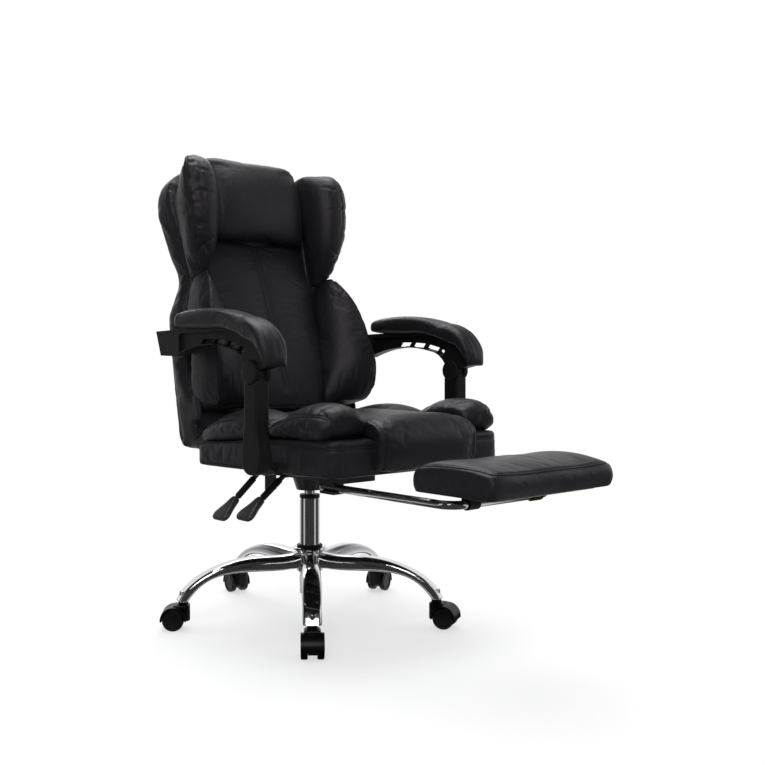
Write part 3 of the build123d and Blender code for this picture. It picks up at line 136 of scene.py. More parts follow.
class Shader(Nodes):
    """A material's nodes round its principled surface."""

    def __init__(self, name):
        self.material = bpy.data.materials.new(name)
        self.material.use_nodes = True
        super().__init__(self.material.node_tree)
        self.surface = self.tree.nodes["Principled BSDF"]
        self.place = self.add("ShaderNodeTexCoord").outputs["Object"]

    def set(self, **values):
        for key, value in values.items():
            self.surface.inputs[key.replace("_", " ")].default_value = value

    def stretched(self, scale):
        node = self.add("ShaderNodeMapping")
        node.inputs["Scale"].default_value = scale
        self.link(self.place, node.inputs["Vector"])
        return node.outputs["Vector"]

    def noise(self, scale, detail=2.0, roughness=0.5, place=None, distortion=0.0):
        node = self.add("ShaderNodeTexNoise")
        node.inputs["Scale"].default_value = scale
        node.inputs["Detail"].default_value = detail
        node.inputs["Roughness"].default_value = roughness
        node.inputs["Distortion"].default_value = distortion
        self.link(place or self.place, node.inputs["Vector"])
        return node.outputs["Fac"]

    def cells(self, scale):
        node = self.add("ShaderNodeTexVoronoi", feature="DISTANCE_TO_EDGE")
        node.inputs["Scale"].default_value = scale
        self.link(self.place, node.inputs["Vector"])
        return node.outputs["Distance"]

    def bump(self, height, strength, distance, under=None):
        node = self.add("ShaderNodeBump")
        node.inputs["Strength"].default_value = strength
        node.inputs["Distance"].default_value = distance
        self.link(height, node.inputs["Height"])
        if under is not None:
            self.link(under, node.inputs["Normal"])
        return node.outputs["Normal"]

    def rounded(self, radius):
        """Normal that softens the look of sharp edges."""
        node = self.add("ShaderNodeBevel", samples=4)
        node.inputs["Radius"].default_value = radius
        return node.outputs["Normal"]

    def finish(self, colour, roughness, normal):
        for name, out in (("Base Color", colour), ("Roughness", roughness), ("Normal", normal)):
            self.link(out, self.surface.inputs[name])
        return self.material


def leather():
    s = Shader("leather_black")
    s.set(Specular_IOR_Level=0.24, Specular_Tint=(1.0, 0.94, 1.0, 1), Sheen_Weight=0.01, Sheen_Roughness=0.4)
    tone = s.ramp(s.noise(11, 4, 0.6), [(0.3, (0.0080, 0.0072, 0.0092)), (0.72, (0.0118, 0.0108, 0.0132))])
    gloss = s.ramp(s.noise(26, 5, 0.65), [(0.25, (0.34,)), (0.75, (0.46,))])
    creases = s.ramp(s.noise(34, 7, 0.62, distortion=0.7), [(0.40, (0,)), (0.5, (1,)), (0.60, (0.15,))])
    soft = s.bump(creases, 0.16, 0.0012)
    pores = s.ramp(s.cells(760), [(0.0, (0,)), (0.22, (1,))])
    grain = s.bump(pores, 0.32, 0.00022, soft)
    fine = s.bump(s.noise(2100, 2), 0.2, 0.00012, grain)
    return s.finish(tone, gloss, fine)


def chrome():
    s = Shader("chrome_polished")
    s.set(Metallic=1.0)
    tone = s.ramp(s.noise(7, 3), [(0.3, (0.62, 0.62, 0.64)), (0.7, (0.70, 0.70, 0.72))])
    gloss = s.ramp(s.noise(55, 6, 0.7), [(0.35, (0.045,)), (0.75, (0.10,))])
    return s.finish(tone, gloss, s.bump(s.noise(18, 2), 0.03, 0.002, s.rounded(0.003)))


def moulded(name, dark, pale, gloss, grain_scale, depth):
    """Moulded plastic with a fine spark-eroded grain."""
    s = Shader(name)
    s.set(Specular_IOR_Level=0.15)
    tone = s.ramp(s.noise(14, 4, 0.6), [(0.3, dark), (0.75, pale)])
    shine = s.ramp(s.noise(40, 5, 0.6), [(0.3, (gloss[0],)), (0.7, (gloss[1],))])
    texture = s.bump(s.noise(grain_scale, 3, 0.7), 0.35, depth, s.rounded(0.0018))
    return s.finish(tone, shine, texture)


def polished():
    """Smooth plastic, polished by hands."""
    s = Shader("plastic_gloss")
    s.set(Specular_IOR_Level=0.5)
    tone = s.ramp(s.noise(14, 4, 0.6), [(0.3, (0.020, 0.019, 0.021)), (0.75, (0.030, 0.028, 0.031))])
    shine = s.ramp(s.noise(40, 5, 0.6), [(0.3, (0.26,)), (0.7, (0.36,))])
    return s.finish(tone, shine, s.bump(s.noise(60, 2), 0.1, 0.0004))


def painted():
    s = Shader("steel_painted_black")
    tone = s.ramp(s.noise(20, 4), [(0.3, (0.0070, 0.0068, 0.0074)), (0.7, (0.0110, 0.0106, 0.0114))])
    gloss = s.ramp(s.noise(60, 4), [(0.3, (0.34,)), (0.7, (0.46,))])
    return s.finish(tone, gloss, s.bump(s.noise(320, 2), 0.25, 0.0003, s.rounded(0.0012)))


def bare_steel():
    s = Shader("steel_zinc")
    s.set(Metallic=1.0)
    tone = s.ramp(s.noise(30, 5, 0.7), [(0.3, (0.38, 0.38, 0.39)), (0.7, (0.52, 0.52, 0.53))])
    gloss = s.ramp(s.noise(90, 5, 0.7), [(0.3, (0.28,)), (0.7, (0.44,))])
    return s.finish(tone, gloss, s.bump(s.noise(900, 2), 0.15, 0.0001))


def plywood():
    s = Shader("plywood_birch")
    along = s.stretched((1.0, 14.0, 60.0))
    grain = s.noise(9, 6, 0.65, along, 0.6)
    tones = [(0.25, (0.20, 0.125, 0.065)), (0.55, (0.36, 0.25, 0.15)), (0.8, (0.45, 0.33, 0.21))]
    tone = s.ramp(grain, tones)
    gloss = s.ramp(grain, [(0.3, (0.62,)), (0.7, (0.78,))])
    return s.finish(tone, gloss, s.bump(grain, 0.25, 0.0006))


MATERIALS = {
    "leather": leather(),
    "chrome": chrome(),
    "plastic": moulded(
        "plastic_matte", (0.0060, 0.0056, 0.0064), (0.0095, 0.0090, 0.0100), (0.38, 0.50), 1500, 0.0003,
    ),
    "nylon": moulded(
        "nylon_gloss", (0.0016, 0.0014, 0.0017), (0.0030, 0.0027, 0.0031), (0.30, 0.40), 700, 0.0001,
    ),
    "paddle": polished(),
    "painted_steel": painted(),
    "steel": bare_steel(),
    "plywood": plywood(),
}


def dress_nodes():
    """Gives every carried-over node the finish of its slot."""
    for row in frame["record"]["subparts"]:
        for place in frame["nodes"][row["node"]].material_slots:
            place.material = MATERIALS[row["material_slot"]]


# Stage
SWEEP = [(0.19, (0.05,)), (0.23, (0.75,)), (0.31, (0.75,)), (0.36, (0.05,)), (0.61, (0.05,)), (0.86, (1,))]
SEEN_RAYS = ("Is Camera Ray", "Is Glossy Ray", "Is Transmission Ray")
FLOOR_HALF = 9  # metres


def make_stage():
    """White sweep behind and below the chair, a dim room above and behind the camera, four soft lamps."""
    world = bpy.data.worlds.new("studio")
    scene.world = world
    world.use_nodes = True
    tree = world.node_tree
    tree.nodes.clear()
    room = Nodes(tree)
    way = room.add("ShaderNodeTexCoord").outputs["Generated"]
    up = room.add("ShaderNodeSeparateXYZ")
    room.link(way, up.inputs[0])
    ceiling = room.ramp(up.outputs["Z"], [(0.30, (1,)), (0.62, (0.10,))])
    studio = room.maths("MULTIPLY", room.sweep(way), ceiling)
    ray = room.add("ShaderNodeLightPath")
    shown = room.maths("MAXIMUM", studio, ray.outputs["Is Camera Ray"])
    lit = room.add("ShaderNodeBackground")
    lit.inputs["Color"].default_value = (0.92, 0.95, 1.0, 1)
    lit.inputs["Strength"].default_value = 0.42
    seen = room.add("ShaderNodeBackground")
    room.link(shown, seen.inputs["Color"])
    mix = room.add("ShaderNodeMixShader")
    room.link(room.any_of(ray, SEEN_RAYS), mix.inputs["Fac"])
    room.link(lit.outputs[0], mix.inputs[1])
    room.link(seen.outputs[0], mix.inputs[2])
    room.link(mix.outputs[0], room.add("ShaderNodeOutputWorld").inputs["Surface"])

    corners = [(x * FLOOR_HALF, y * FLOOR_HALF, 0) for x, y in ((-1, -1), (1, -1), (1, 1), (-1, 1))]
    floor = new_piece("floor", mesh_of("floor", corners, [(0, 1, 2, 3)]))
    floor.data.materials.append(floor_material())

    lamp("key", (-2.3, -2.5, 2.7), (0, -0.1, 0.55), 2.0, 58)
    lamp("fill", (2.7, -1.9, 1.9), (0, -0.1, 0.5), 2.2, 16)
    lamp("top", (0.3, 0.5, 3.3), (0, -0.1, 0.5), 2.4, 96)
    lamp("rim", (1.4, 2.8, 2.4), (0, 0.1, 0.7), 1.6, 30)


def floor_material():
    """Pale floor that keeps a soft shadow near the chair and fades to white; metal sees the studio in it."""
    s = Shader("floor_pale")
    s.set(Base_Color=(0.96, 0.96, 0.96, 1), Roughness=0.9, Specular_IOR_Level=0.1)
    reach = s.add("ShaderNodeVectorMath", operation="LENGTH")
    s.link(s.place, reach.inputs[0])
    fade = s.ramp(s.maths("MULTIPLY", reach.outputs["Value"], 0.25), [(0.08, (0.6,)), (0.32, (1,))])
    ray = s.add("ShaderNodeLightPath")
    mirrored = s.any_of(ray, SEEN_RAYS[1:])
    share = s.maths("MAXIMUM", s.maths("MULTIPLY", fade, ray.outputs["Is Camera Ray"]), mirrored)
    way = s.add("ShaderNodeVectorMath", operation="NORMALIZE")
    s.link(s.place, way.inputs[0])
    studio = s.sweep(way.outputs["Vector"])
    glow = s.add("ShaderNodeEmission")
    s.link(s.maths("MAXIMUM", studio, ray.outputs["Is Camera Ray"]), glow.inputs["Color"])
    mix = s.add("ShaderNodeMixShader")
    s.link(share, mix.inputs["Fac"])
    s.link(s.surface.outputs[0], mix.inputs[1])
    s.link(glow.outputs[0], mix.inputs[2])
    s.link(mix.outputs[0], s.tree.nodes["Material Output"].inputs["Surface"])
    return s.material


def lamp(name, place, target, size, power):
    data = bpy.data.lights.new(name, "AREA")
    data.size = size
    data.energy = power
    light = bpy.data.objects.new(name, data)
    scene.collection.objects.link(light)
    light.location = place
    light.rotation_euler = (Vector(target) - Vector(place)).to_track_quat("-Z", "Y").to_euler()


# Soft goods
def on_back(x, n, u):
    """Point on the back from its own measures: across, rearward and up from the hinge."""
    y = HINGE[0] + n * math.cos(BACK_LEAN) + u * math.sin(BACK_LEAN)
    z = HINGE[1] - n * math.sin(BACK_LEAN) + u * math.cos(BACK_LEAN)
    return Vector((x, y, z)) * MM


def on_seat(x, y, z):
    return Vector((x, y, z)) * MM


def smooth_line(points, step=0.004):
    """Even points on a smooth curve through the given ones."""
    pts = [np.array(p, float) for p in points]
    pts = [2 * pts[0] - pts[1]] + pts + [2 * pts[-1] - pts[-2]]
    dense = []
    for a, b, c, d in zip(pts, pts[1:], pts[2:], pts[3:]):
        square, cube = 2 * a - 5 * b + 4 * c - d, 3 * b - a - 3 * c + d
        for t in np.linspace(0, 1, 24, endpoint=False):
            dense.append(0.5 * (2 * b + (c - a) * t + square * t**2 + cube * t**3))
    dense.append(pts[-2])
    return even(np.array(dense), step)


def even(line, step):
    """The same line with points at one spacing."""
    along = np.concatenate([[0], np.cumsum(np.linalg.norm(np.diff(line, axis=0), axis=1))])
    marks = np.linspace(0, along[-1], max(3, int(along[-1] / step) + 1))
    return np.stack([np.interp(marks, along, line[:, k]) for k in range(3)], axis=1)


def coords(mesh):
    co = np.empty(len(mesh.vertices) * 3, np.float32)
    mesh.vertices.foreach_get("co", co)
    return co.reshape(-1, 3).astype(float)


def set_coords(mesh, co):
    mesh.vertices.foreach_set("co", np.ascontiguousarray(co, np.float32).ravel())
    mesh.update()


def normals(mesh):
    out = np.empty(len(mesh.vertices) * 3, np.float32)
    mesh.vertex_normals.foreach_get("vector", out)
    return out.reshape(-1, 3).astype(float)


def near_line(co, line, reach):
    """The points within reach of a line: their numbers, distances to it and lengths along it."""
    box = np.all((co > line.min(0) - reach) & (co < line.max(0) + reach), axis=1)
    which = np.flatnonzero(box)
    part = co[which]
    best = np.full(len(part), 1e9)
    along = np.zeros(len(part))
    run = 0.0
    for a, b in zip(line, line[1:]):
        way = b - a
        length = max(np.linalg.norm(way), 1e-9)
        t = np.clip((part - a) @ way / length**2, 0, 1)
        gap = np.linalg.norm(part - a - t[:, None] * way, axis=1)
        closer = gap < best
        best[closer] = gap[closer]
        along[closer] = run + t[closer] * length
        run += length
    close = best < reach
    return which[close], best[close], along[close]


def surface_of(piece):
    return BVHTree.FromObject(piece, bpy.context.evaluated_depsgraph_get())


def onto(surface, line, lift=0.0):
    """The line laid on a surface."""
    laid = []
    for point in line:
        place, normal, _, _ = surface.find_nearest(Vector(point))
        laid.append(np.array(place + normal * lift))
    laid = np.array(laid)
    for _ in range(2):
        laid[1:-1] = 0.25 * laid[:-2] + 0.5 * laid[1:-1] + 0.25 * laid[2:]
    return laid


def bake(piece):
    """Makes the modifiers' result the piece's own mesh."""
    graph = bpy.context.evaluated_depsgraph_get()
    mesh = bpy.data.meshes.new_from_object(piece.evaluated_get(graph))
    piece.modifiers.clear()
    old = piece.data
    piece.data = mesh
    bpy.data.meshes.remove(old)


def mesh_of(name, verts, faces):
    mesh = bpy.data.meshes.new(name)
    mesh.from_pydata([tuple(v) for v in verts], [], faces)
    return mesh


def new_piece(name, mesh):
    piece = bpy.data.objects.new(name, mesh)
    scene.collection.objects.link(piece)
    return piece


def hard_piece(name, mesh, body, slot):
    """A small piece that rides on a body in the finish of a slot."""
    piece = new_piece(name, mesh)
    mesh.materials.append(MATERIALS[slot])
    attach(piece, body)
    return piece


def remeshed(name, node, voxel):
    """A new piece with the node's form, in even quads."""
    mesh = frame["nodes"][node].data.copy()
    work = bmesh.new()
    work.from_mesh(mesh)
    bmesh.ops.remove_doubles(work, verts=work.verts, dist=1e-6)
    work.to_mesh(mesh)
    work.free()
    piece = new_piece(name, mesh)
    remesh = piece.modifiers.new("even", "REMESH")
    remesh.mode = "VOXEL"
    remesh.voxel_size = voxel
    bake(piece)
    relax(piece, 2)
    return piece


def relax(piece, rounds, factor=0.5, hold=None):
    """Evens out a mesh; hold is each vertex's share of staying put."""
    co = coords(piece.data)
    edges = np.empty(len(piece.data.edges) * 2, np.int32)
    piece.data.edges.foreach_get("vertices", edges)
    edges = edges.reshape(-1, 2)
    count = np.bincount(edges.ravel(), minlength=len(co)).astype(float)
    free = factor if hold is None else factor * (1 - hold)[:, None]
    for _ in range(rounds):
        total = np.zeros_like(co)
        np.add.at(total, edges[:, 0], co[edges[:, 1]])
        np.add.at(total, edges[:, 1], co[edges[:, 0]])
        co += (total / np.maximum(count, 1)[:, None] - co) * free
    set_coords(piece.data, co)


SOFT = {}


def soft(node, body, voxel=0.005, seams=(), held=None, slack=0.03, cap=0.012, fill=0.7):
    """Starts a padded piece: seams are held as stitched, and so is all that held() says rests on something."""
    piece = remeshed(node + "_cover", node, voxel)
    kind = node.removesuffix("_left").removesuffix("_right")
    if kind in RESHAPED:
        set_coords(piece.data, RESHAPED[kind](coords(piece.data) / MM) * MM)
    co = coords(piece.data)
    surface = surface_of(piece)
    lines = [onto(surface, smooth_line(points)) for points in seams]
    pin = np.zeros(len(co))
    for line in lines:
        which, gap, _ = near_line(co, line, 1.6 * voxel)
        pin[which] = np.maximum(pin[which], np.clip(1.6 - gap / voxel, 0, 1))
    if held is not None:
        pin = np.maximum(pin, np.array([held(*(p / MM)) for p in co], float))
    SOFT[node] = {
        "piece": piece, "node": node, "body": body, "lines": lines, "pin": pin, "rest": co,
        "slack": slack, "cap": cap, "fill": fill,
    }


def corner_filled(along, across, start, radius, power):
    """How much further out a point of a rounded corner goes to make the corner fuller."""
    x = np.clip((along - start[0]) / radius, 0, None)
    y = np.clip((across - start[1]) / radius, 0, None)
    fuller = np.hypot(x, y) / np.maximum((x**power + y**power) ** (1 / power), 1e-6)
    return np.where((x > 0) & (y > 0), fuller, 1)


def shape_seat(co):
    """Slopes the upholstered base's edges up towards the front, and leaves the tops of the cushions."""
    y, z = co[:, 1], co[:, 2]
    low = np.interp(y, (-400, -320, -170, 100), (9, 8, 4, -1))
    edge = np.interp(y, (-400, -285, -183, -72, 109), (14, 11, 8, -3, -20))
    below = np.clip((z - 380) / 70, 0, 1)
    above = np.clip((500 - z) / 50, 0, 1)
    co[:, 2] += (low * (1 - below) + edge * below) * above
    return co


def shape_base(co):
    """Fills the base's corners, covers the arm brackets, then slopes it as the rest of the seat."""
    x, y = np.abs(co[:, 0]), co[:, 1]
    side = np.sign(co[:, 0])
    rear = corner_filled(x, y, (220, 70), 35, 6)
    front = corner_filled(x, -y, (210, 340), 45, 2.6)
    wide = np.where(front > 1, 210 + (x - 210) * front, x)
    long = np.where(front > 1, (y + 340) * front - 340, y)
    co[:, 0] = side * np.where(rear > 1, 220 + (x - 220) * rear, wide)
    co[:, 1] = np.where(rear > 1, 70 + (y - 70) * rear, long)
    bracket = np.exp(-(((co[:, 1] + 205) / 70) ** 6)) * np.clip((np.abs(co[:, 0]) - 235) / 18, 0, 1)
    co[:, 0] += side * 6 * bracket * np.clip((448 - co[:, 2]) / 12, 0, 1)
    return shape_seat(co)


def shape_front_bolster(co):
    """Lifts a front bolster's tip, tucks in what is below it and lowers the rear end."""
    tuck = np.clip((502 - co[:, 2]) / 45, 0, 1) * np.clip((-310 - co[:, 1]) / 70, 0, 1)
    co[:, 1] += 30 * tuck
    lift = np.interp(co[:, 1], (-380, -350, -310, -280, -230, -190), (16, 12, 4, 0, -8, -14))
    co[:, 2] += lift * np.clip((co[:, 2] - 470) / 40, 0, 1)
    return shape_seat(co)


def shape_footrest(co):
    """Widens the footrest's pad a little."""
    co[:, 0] *= 1.025
    return co


def shape_arm_pad(co):
    """Lowers an arm pad's nose a little and lifts its tail."""
    y = co[:, 1].copy()
    co[:, 1] += 4 * np.clip((-230 - y) / 40, 0, 1)
    co[:, 2] += np.interp(y, (-275, -200, -100, 80), (-5, -3, 0, 3))
    return co


def to_back(co):
    """The back's own measures of points: across, rearward and up from the hinge."""
    y, z = co[:, 1] - HINGE[0], co[:, 2] - HINGE[1]
    lean = (math.cos(BACK_LEAN), math.sin(BACK_LEAN))
    return co[:, 0].copy(), y * lean[0] - z * lean[1], y * lean[1] + z * lean[0]


def from_back(x, n, u):
    """Points from the back's own measures."""
    lean = (math.cos(BACK_LEAN), math.sin(BACK_LEAN))
    return np.stack([x, HINGE[0] + n * lean[0] + u * lean[1], HINGE[1] - n * lean[1] + u * lean[0]], axis=1)


def shape_shell(co):
    """Fuller rear of the back above and below the waist."""
    x, n, u = to_back(co)
    grow = np.interp(u, (-40, 200, 300, 340, 400, 450, 560, 620), (8, 7, 4, -3, -2, 8, 8, 0))
    return from_back(x, n + grow * np.clip((n - 10) / 38, 0, 1), u)


def shape_pillow(co):
    """Lifts the head pillow's top."""
    x, n, u = to_back(co)
    return from_back(x, n, u + 6 * np.clip((u - 560) / 130, 0, 1))


def shape_wing(co):
    """Lets a wing's outer face and top fall away to the rear, behind its pointed tip."""
    x, n, u = to_back(co)
    rear = np.clip((n + 112) / 70, 0, 1)
    out = np.clip((np.abs(x) - 178) / 45, 0, 1)
    x -= np.sign(x) * 18 * rear * out
    fall = 0.78 * rear * out * np.clip(u - 585, 0, None) + 6 * np.clip((440 - u) / 50, 0, 1)
    return from_back(x, n, u - fall)


def shape_lumbar(co):
    """Lets a lumbar bolster hang lower, wider below and narrower above."""
    x, n, u = to_back(co)
    out = 4 * np.clip((200 - u) / 100, 0, 1) - 6 * np.clip((u - 300) / 80, 0, 1)
    out *= np.clip((np.abs(x) - 160) / 60, 0, 1)
    along = 5 * np.clip((u - 330) / 50, 0, 1) - 12 * np.clip((140 - u) / 80, 0, 1)
    return from_back(x + np.sign(x) * out, n, u + along)


RESHAPED = {
    "seat_base": shape_base, "seat_cushion": shape_seat, "front_bolster": shape_front_bolster,
    "rear_bolster": shape_seat, "footrest_pad": shape_footrest, "arm_pad": shape_arm_pad,
    "back_shell": shape_shell, "head_pillow": shape_pillow, "wing_pillow": shape_wing,
    "lumbar_bolster": shape_lumbar,
}


CLOTH_FRAMES = 20


def inflate():
    """One cloth simulation of all the padded pieces together."""
    for row in SOFT.values():
        piece = row["piece"]
        group = piece.vertex_groups.new(name="held")
        pin = np.round(row["pin"], 1)
        for weight in np.unique(pin[pin > 0]):
            group.add(np.flatnonzero(pin == weight).tolist(), float(weight), "REPLACE")
        cloth = piece.modifiers.new("cloth", "CLOTH")
        settings = cloth.settings
        settings.quality = 4
        settings.mass = 0.3
        settings.use_pressure = True
        settings.uniform_pressure_force = 4.0
        settings.shrink_min = -row["slack"]
        settings.effector_weights.gravity = 0
        settings.vertex_group_mass = "held"
        settings.bending_stiffness = 0.6
        settings.tension_stiffness = 18
        settings.compression_stiffness = 18
        cloth.collision_settings.use_collision = False
        cloth.point_cache.frame_start = 1
        cloth.point_cache.frame_end = CLOTH_FRAMES
    for step in range(1, CLOTH_FRAMES + 1):
        scene.frame_set(step)
    for row in SOFT.values():
        bake(row["piece"])
        row["piece"].vertex_groups.clear()
        moved = coords(row["piece"].data) - row["rest"]
        length = np.linalg.norm(moved, axis=1, keepdims=True)
        limit = row["cap"] * np.tanh(length / row["cap"])
        set_coords(row["piece"].data, row["rest"] + moved * limit / np.maximum(length, 1e-9))
        relax(row["piece"], 1, 0.4, row["pin"])
    scene.frame_set(1)


def subdivide(piece):
    fine = piece.modifiers.new("fine", "SUBSURF")
    fine.levels = 1
    fine.render_levels = 1
    bake(piece)


def finish_soft(row):
    piece = row["piece"]
    piece.data.materials.clear()
    piece.data.materials.append(MATERIALS["leather"])
    shade_smooth(piece)
    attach(piece, row["body"])
    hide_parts(row["node"])


def shade_smooth(piece):
    piece.data.polygons.foreach_set("use_smooth", [True] * len(piece.data.polygons))


def push(row, line, reach, depth_at):
    """Moves the leather near a line inwards by depth_at(distance, length along)."""
    mesh = row["piece"].data
    co = coords(mesh)
    which, gap, along = near_line(co, line, reach)
    if len(which):
        co[which] -= normals(mesh)[which] * depth_at(gap, along)[:, None]
        set_coords(mesh, co)


def crease(row, depth, width):
    """Draws the leather in along a piece's seams."""
    for line in row["lines"]:
        push(row, line, 3 * width, lambda gap, along: depth * np.exp(-((gap / width) ** 2)))


def gather(row, spacing, depth, reach):
    """Small folds that run from the first seam into the piece, as where leather is gathered."""
    def folds(gap, along):
        beat = along / spacing + 0.35 * np.sin(along / spacing * 1.7)
        size = 0.65 + 0.35 * np.sin(beat * 2.3)
        return depth * size * np.abs(np.cos(math.pi * beat)) ** 5 * np.exp(-gap / reach)

    push(row, row["lines"][0], 4 * reach, folds)


def fold(row, surface, points, depth, width):
    """One crease with a swell on each side, which fades towards its ends."""
    line = onto(surface, smooth_line(points))
    length = np.linalg.norm(np.diff(line, axis=0), axis=1).sum()

    def profile(gap, along):
        across = (gap / width) ** 2
        fade = np.clip(np.sin(math.pi * along / length), 0, 1) ** 0.6
        return depth * (1 - 1.1 * across) * np.exp(-across) * fade

    push(row, line, 3 * width, profile)


def tube_mesh(name, lines, radius, sides=8, size_at=None):
    """Round cords along lines of points, in one mesh; size_at(i, count) changes the radius along a cord."""
    verts, faces = [], []
    for line in lines:
        first = len(verts)
        count = len(line)
        normal = None
        for i in range(count):
            way = line[min(i + 1, count - 1)] - line[max(i - 1, 0)]
            way = way / max(np.linalg.norm(way), 1e-9)
            if normal is None:
                normal = np.cross(way, (0.31, 0.2, 0.93))
            normal = normal - way * (normal @ way)
            normal /= max(np.linalg.norm(normal), 1e-9)
            side = np.cross(way, normal)
            size = radius * (size_at(i, count) if size_at else 1.0 if 0 < i < count - 1 else 0.4)
            for k in range(sides):
                turn = 2 * math.pi * k / sides
                verts.append(line[i] + size * (math.cos(turn) * normal + math.sin(turn) * side))
        for i in range(count - 1):
            here, there = first + i * sides, first + (i + 1) * sides
            for k in range(sides):
                nxt = (k + 1) % sides
                faces.append((here + k, here + nxt, there + nxt, there + k))
        faces.append(tuple(first + k for k in reversed(range(sides))))
        faces.append(tuple(first + (count - 1) * sides + k for k in range(sides)))
    return mesh_of(name, verts, faces)


def piping(row, surface, radius=0.0018):
    """Sewn cord along a piece's seams."""
    name = row["node"] + "_piping"
    lines = [onto(surface, line) for line in row["lines"]]
    shade_smooth(hard_piece(name, tube_mesh(name, lines, radius), row["body"], "leather"))


def stitching(row, surface, beside=0.0):
    """Short stitches along a piece's seams, or a little to one side of them."""
    threads = []
    for line in row["lines"]:
        path = even(onto(surface, line), 0.0022)
        for start in range(0, len(path) - 2, 3):
            stitch = path[start:start + 3].copy()
            _, normal, _, _ = surface.find_nearest(Vector(stitch[1]))
            out = np.array(normal)
            across = np.cross(out, stitch[2] - stitch[0])
            stitch += beside * across / max(np.linalg.norm(across), 1e-9)
            stitch += out * 0.0001
            stitch[1] += out * 0.0004
            threads.append(stitch)
    name = row["node"] + "_stitching"
    mesh = tube_mesh(name, threads, 0.0005, 5, lambda i, count: 1.0 if i == 1 else 0.7)
    shade_smooth(hard_piece(name, mesh, row["body"], "nylon"))


def sides():
    """The sitter's left and right, with the change of sign of x."""
    return (("left", 1), ("right", -1))


def make_seat():
    soft(
        "seat_base", "seat", 0.006,
        seams=[
            [on_seat(x, y, 448) for x, y in seat_rim(6)],
            [on_seat(x, y, 385) for x, y in seat_rim(3)],
        ],
        held=lambda x, y, z: float(z < 386 or z > 444 or abs(x) < 216 or y > 88 or abs(y + 199) < 44),
        slack=0.008, cap=0.006,
    )
    soft(
        "seat_cushion", "seat", 0.005,
        seams=[[on_seat(s * 133, y, z) for y, z in CUSHION_LINE] for s in (-1, 1)],
        held=lambda x, y, z: float(z < 458 and y > -384), slack=0.006, cap=0.008,
    )
    for side, sign in sides():
        soft(
            f"front_bolster_{side}", "seat", 0.0045,
            seams=[[on_seat(sign * x, y, z) for x, y, z in FRONT_BOLSTER_SEAM]],
            held=lambda x, y, z: float(z < 462 or abs(x) < 150), slack=0.018, cap=0.009,
        )
        soft(
            f"rear_bolster_{side}", "seat", 0.0045,
            seams=[[on_seat(sign * x, y, z) for x, y, z in REAR_BOLSTER_SEAM]],
            held=lambda x, y, z: float(z < 462 or abs(x) < 150 or y > 88), slack=0.012, cap=0.007,
        )


def seat_rim(inset):
    """Outline of the seat's base, drawn in, from the rear right corner round the front to the rear left."""
    x, front, corner = 255 - inset, -385 + inset, 45 - inset
    points = [(-x, 90), (-x, 0), (-x, -150), (-x, front + corner)]
    for turn in (30, 60):
        a = math.radians(turn)
        points.append((-x + corner - corner * math.cos(a), front + corner - corner * math.sin(a)))
    points += [(-x + corner, front), (0, front)]
    return points + [(-px, py) for px, py in reversed(points[:-1])]


# Seams on the sitter's left, in millimetres
CUSHION_LINE = [
    (60, 498), (-60, 504), (-200, 505), (-320, 503), (-370, 492), (-402, 470), (-414, 440), (-411, 415),
    (-403, 398),
]
FRONT_BOLSTER_SEAM = [
    (206, -381, 490), (238, -358, 503), (256, -312, 514), (259, -262, 516), (259, -212, 509), (257, -184, 500),
]
REAR_BOLSTER_SEAM = [
    (257, -176, 498), (260, -140, 503), (260, -80, 505), (259, -20, 502), (256, 40, 494), (248, 94, 478),
]


def make_footrest():
    half, front, rear, top = 170, -726, -536, 425
    corner, crown = 18, 3
    middle = (front + rear) / 2
    near = [(half - corner, front), (half, front + corner)]
    far = [(half, rear - corner), (half - corner, rear)]
    loop = [(-x, y) for x, y in reversed(near)] + [(0, front - crown)] + near + [(half + crown, middle)] + far
    loop += [(0, rear + crown)] + [(-x, y) for x, y in reversed(far)] + [(-half - crown, middle)]
    loop.append(loop[0])
    soft(
        "footrest_pad", "footrest", 0.0045, seams=[[on_seat(x, y, top) for x, y in loop]],
        held=lambda x, y, z: float(z < 384), slack=0.005, cap=0.006,
    )


def make_back():
    edge = SHELL_EDGE + [(-x, u) for x, u in reversed(SHELL_EDGE[:-1])]
    waist = [on_back(x, 50, 393) for x in (-192, -100, 0, 100, 192)]
    soft(
        "back_shell", "back", 0.006, seams=[[on_back(x, 50, u) for x, u in edge], waist],
        slack=0.010, cap=0.005, held=lambda x, y, z: float(z < 520),
    )
    soft(
        "back_pad", "back", 0.005, seams=[[on_back(x, n, u) for n, u in BACK_LINE] for x in (-7, 7)],
        slack=0.006, cap=0.008, held=lambda x, y, z: float(abs(x) > 152 or z < 530),
    )
    soft(
        "head_pillow", "back", 0.005, seams=[[on_back(s * 134, n, u) for n, u in PILLOW_LINE] for s in (-1, 1)],
        slack=0.005, cap=0.008,
    )
    for side, sign in sides():
        soft(
            f"wing_pillow_{side}", "back", 0.0045,
            seams=[[on_back(sign * x, n, u) for x, n, u in WING_SEAM]], slack=0.025, cap=0.009,
        )
        soft(
            f"lumbar_bolster_{side}", "back", 0.0045,
            seams=[[on_back(sign * x, n, u) for x, n, u in LUMBAR_SEAM]], slack=0.014, cap=0.008,
        )


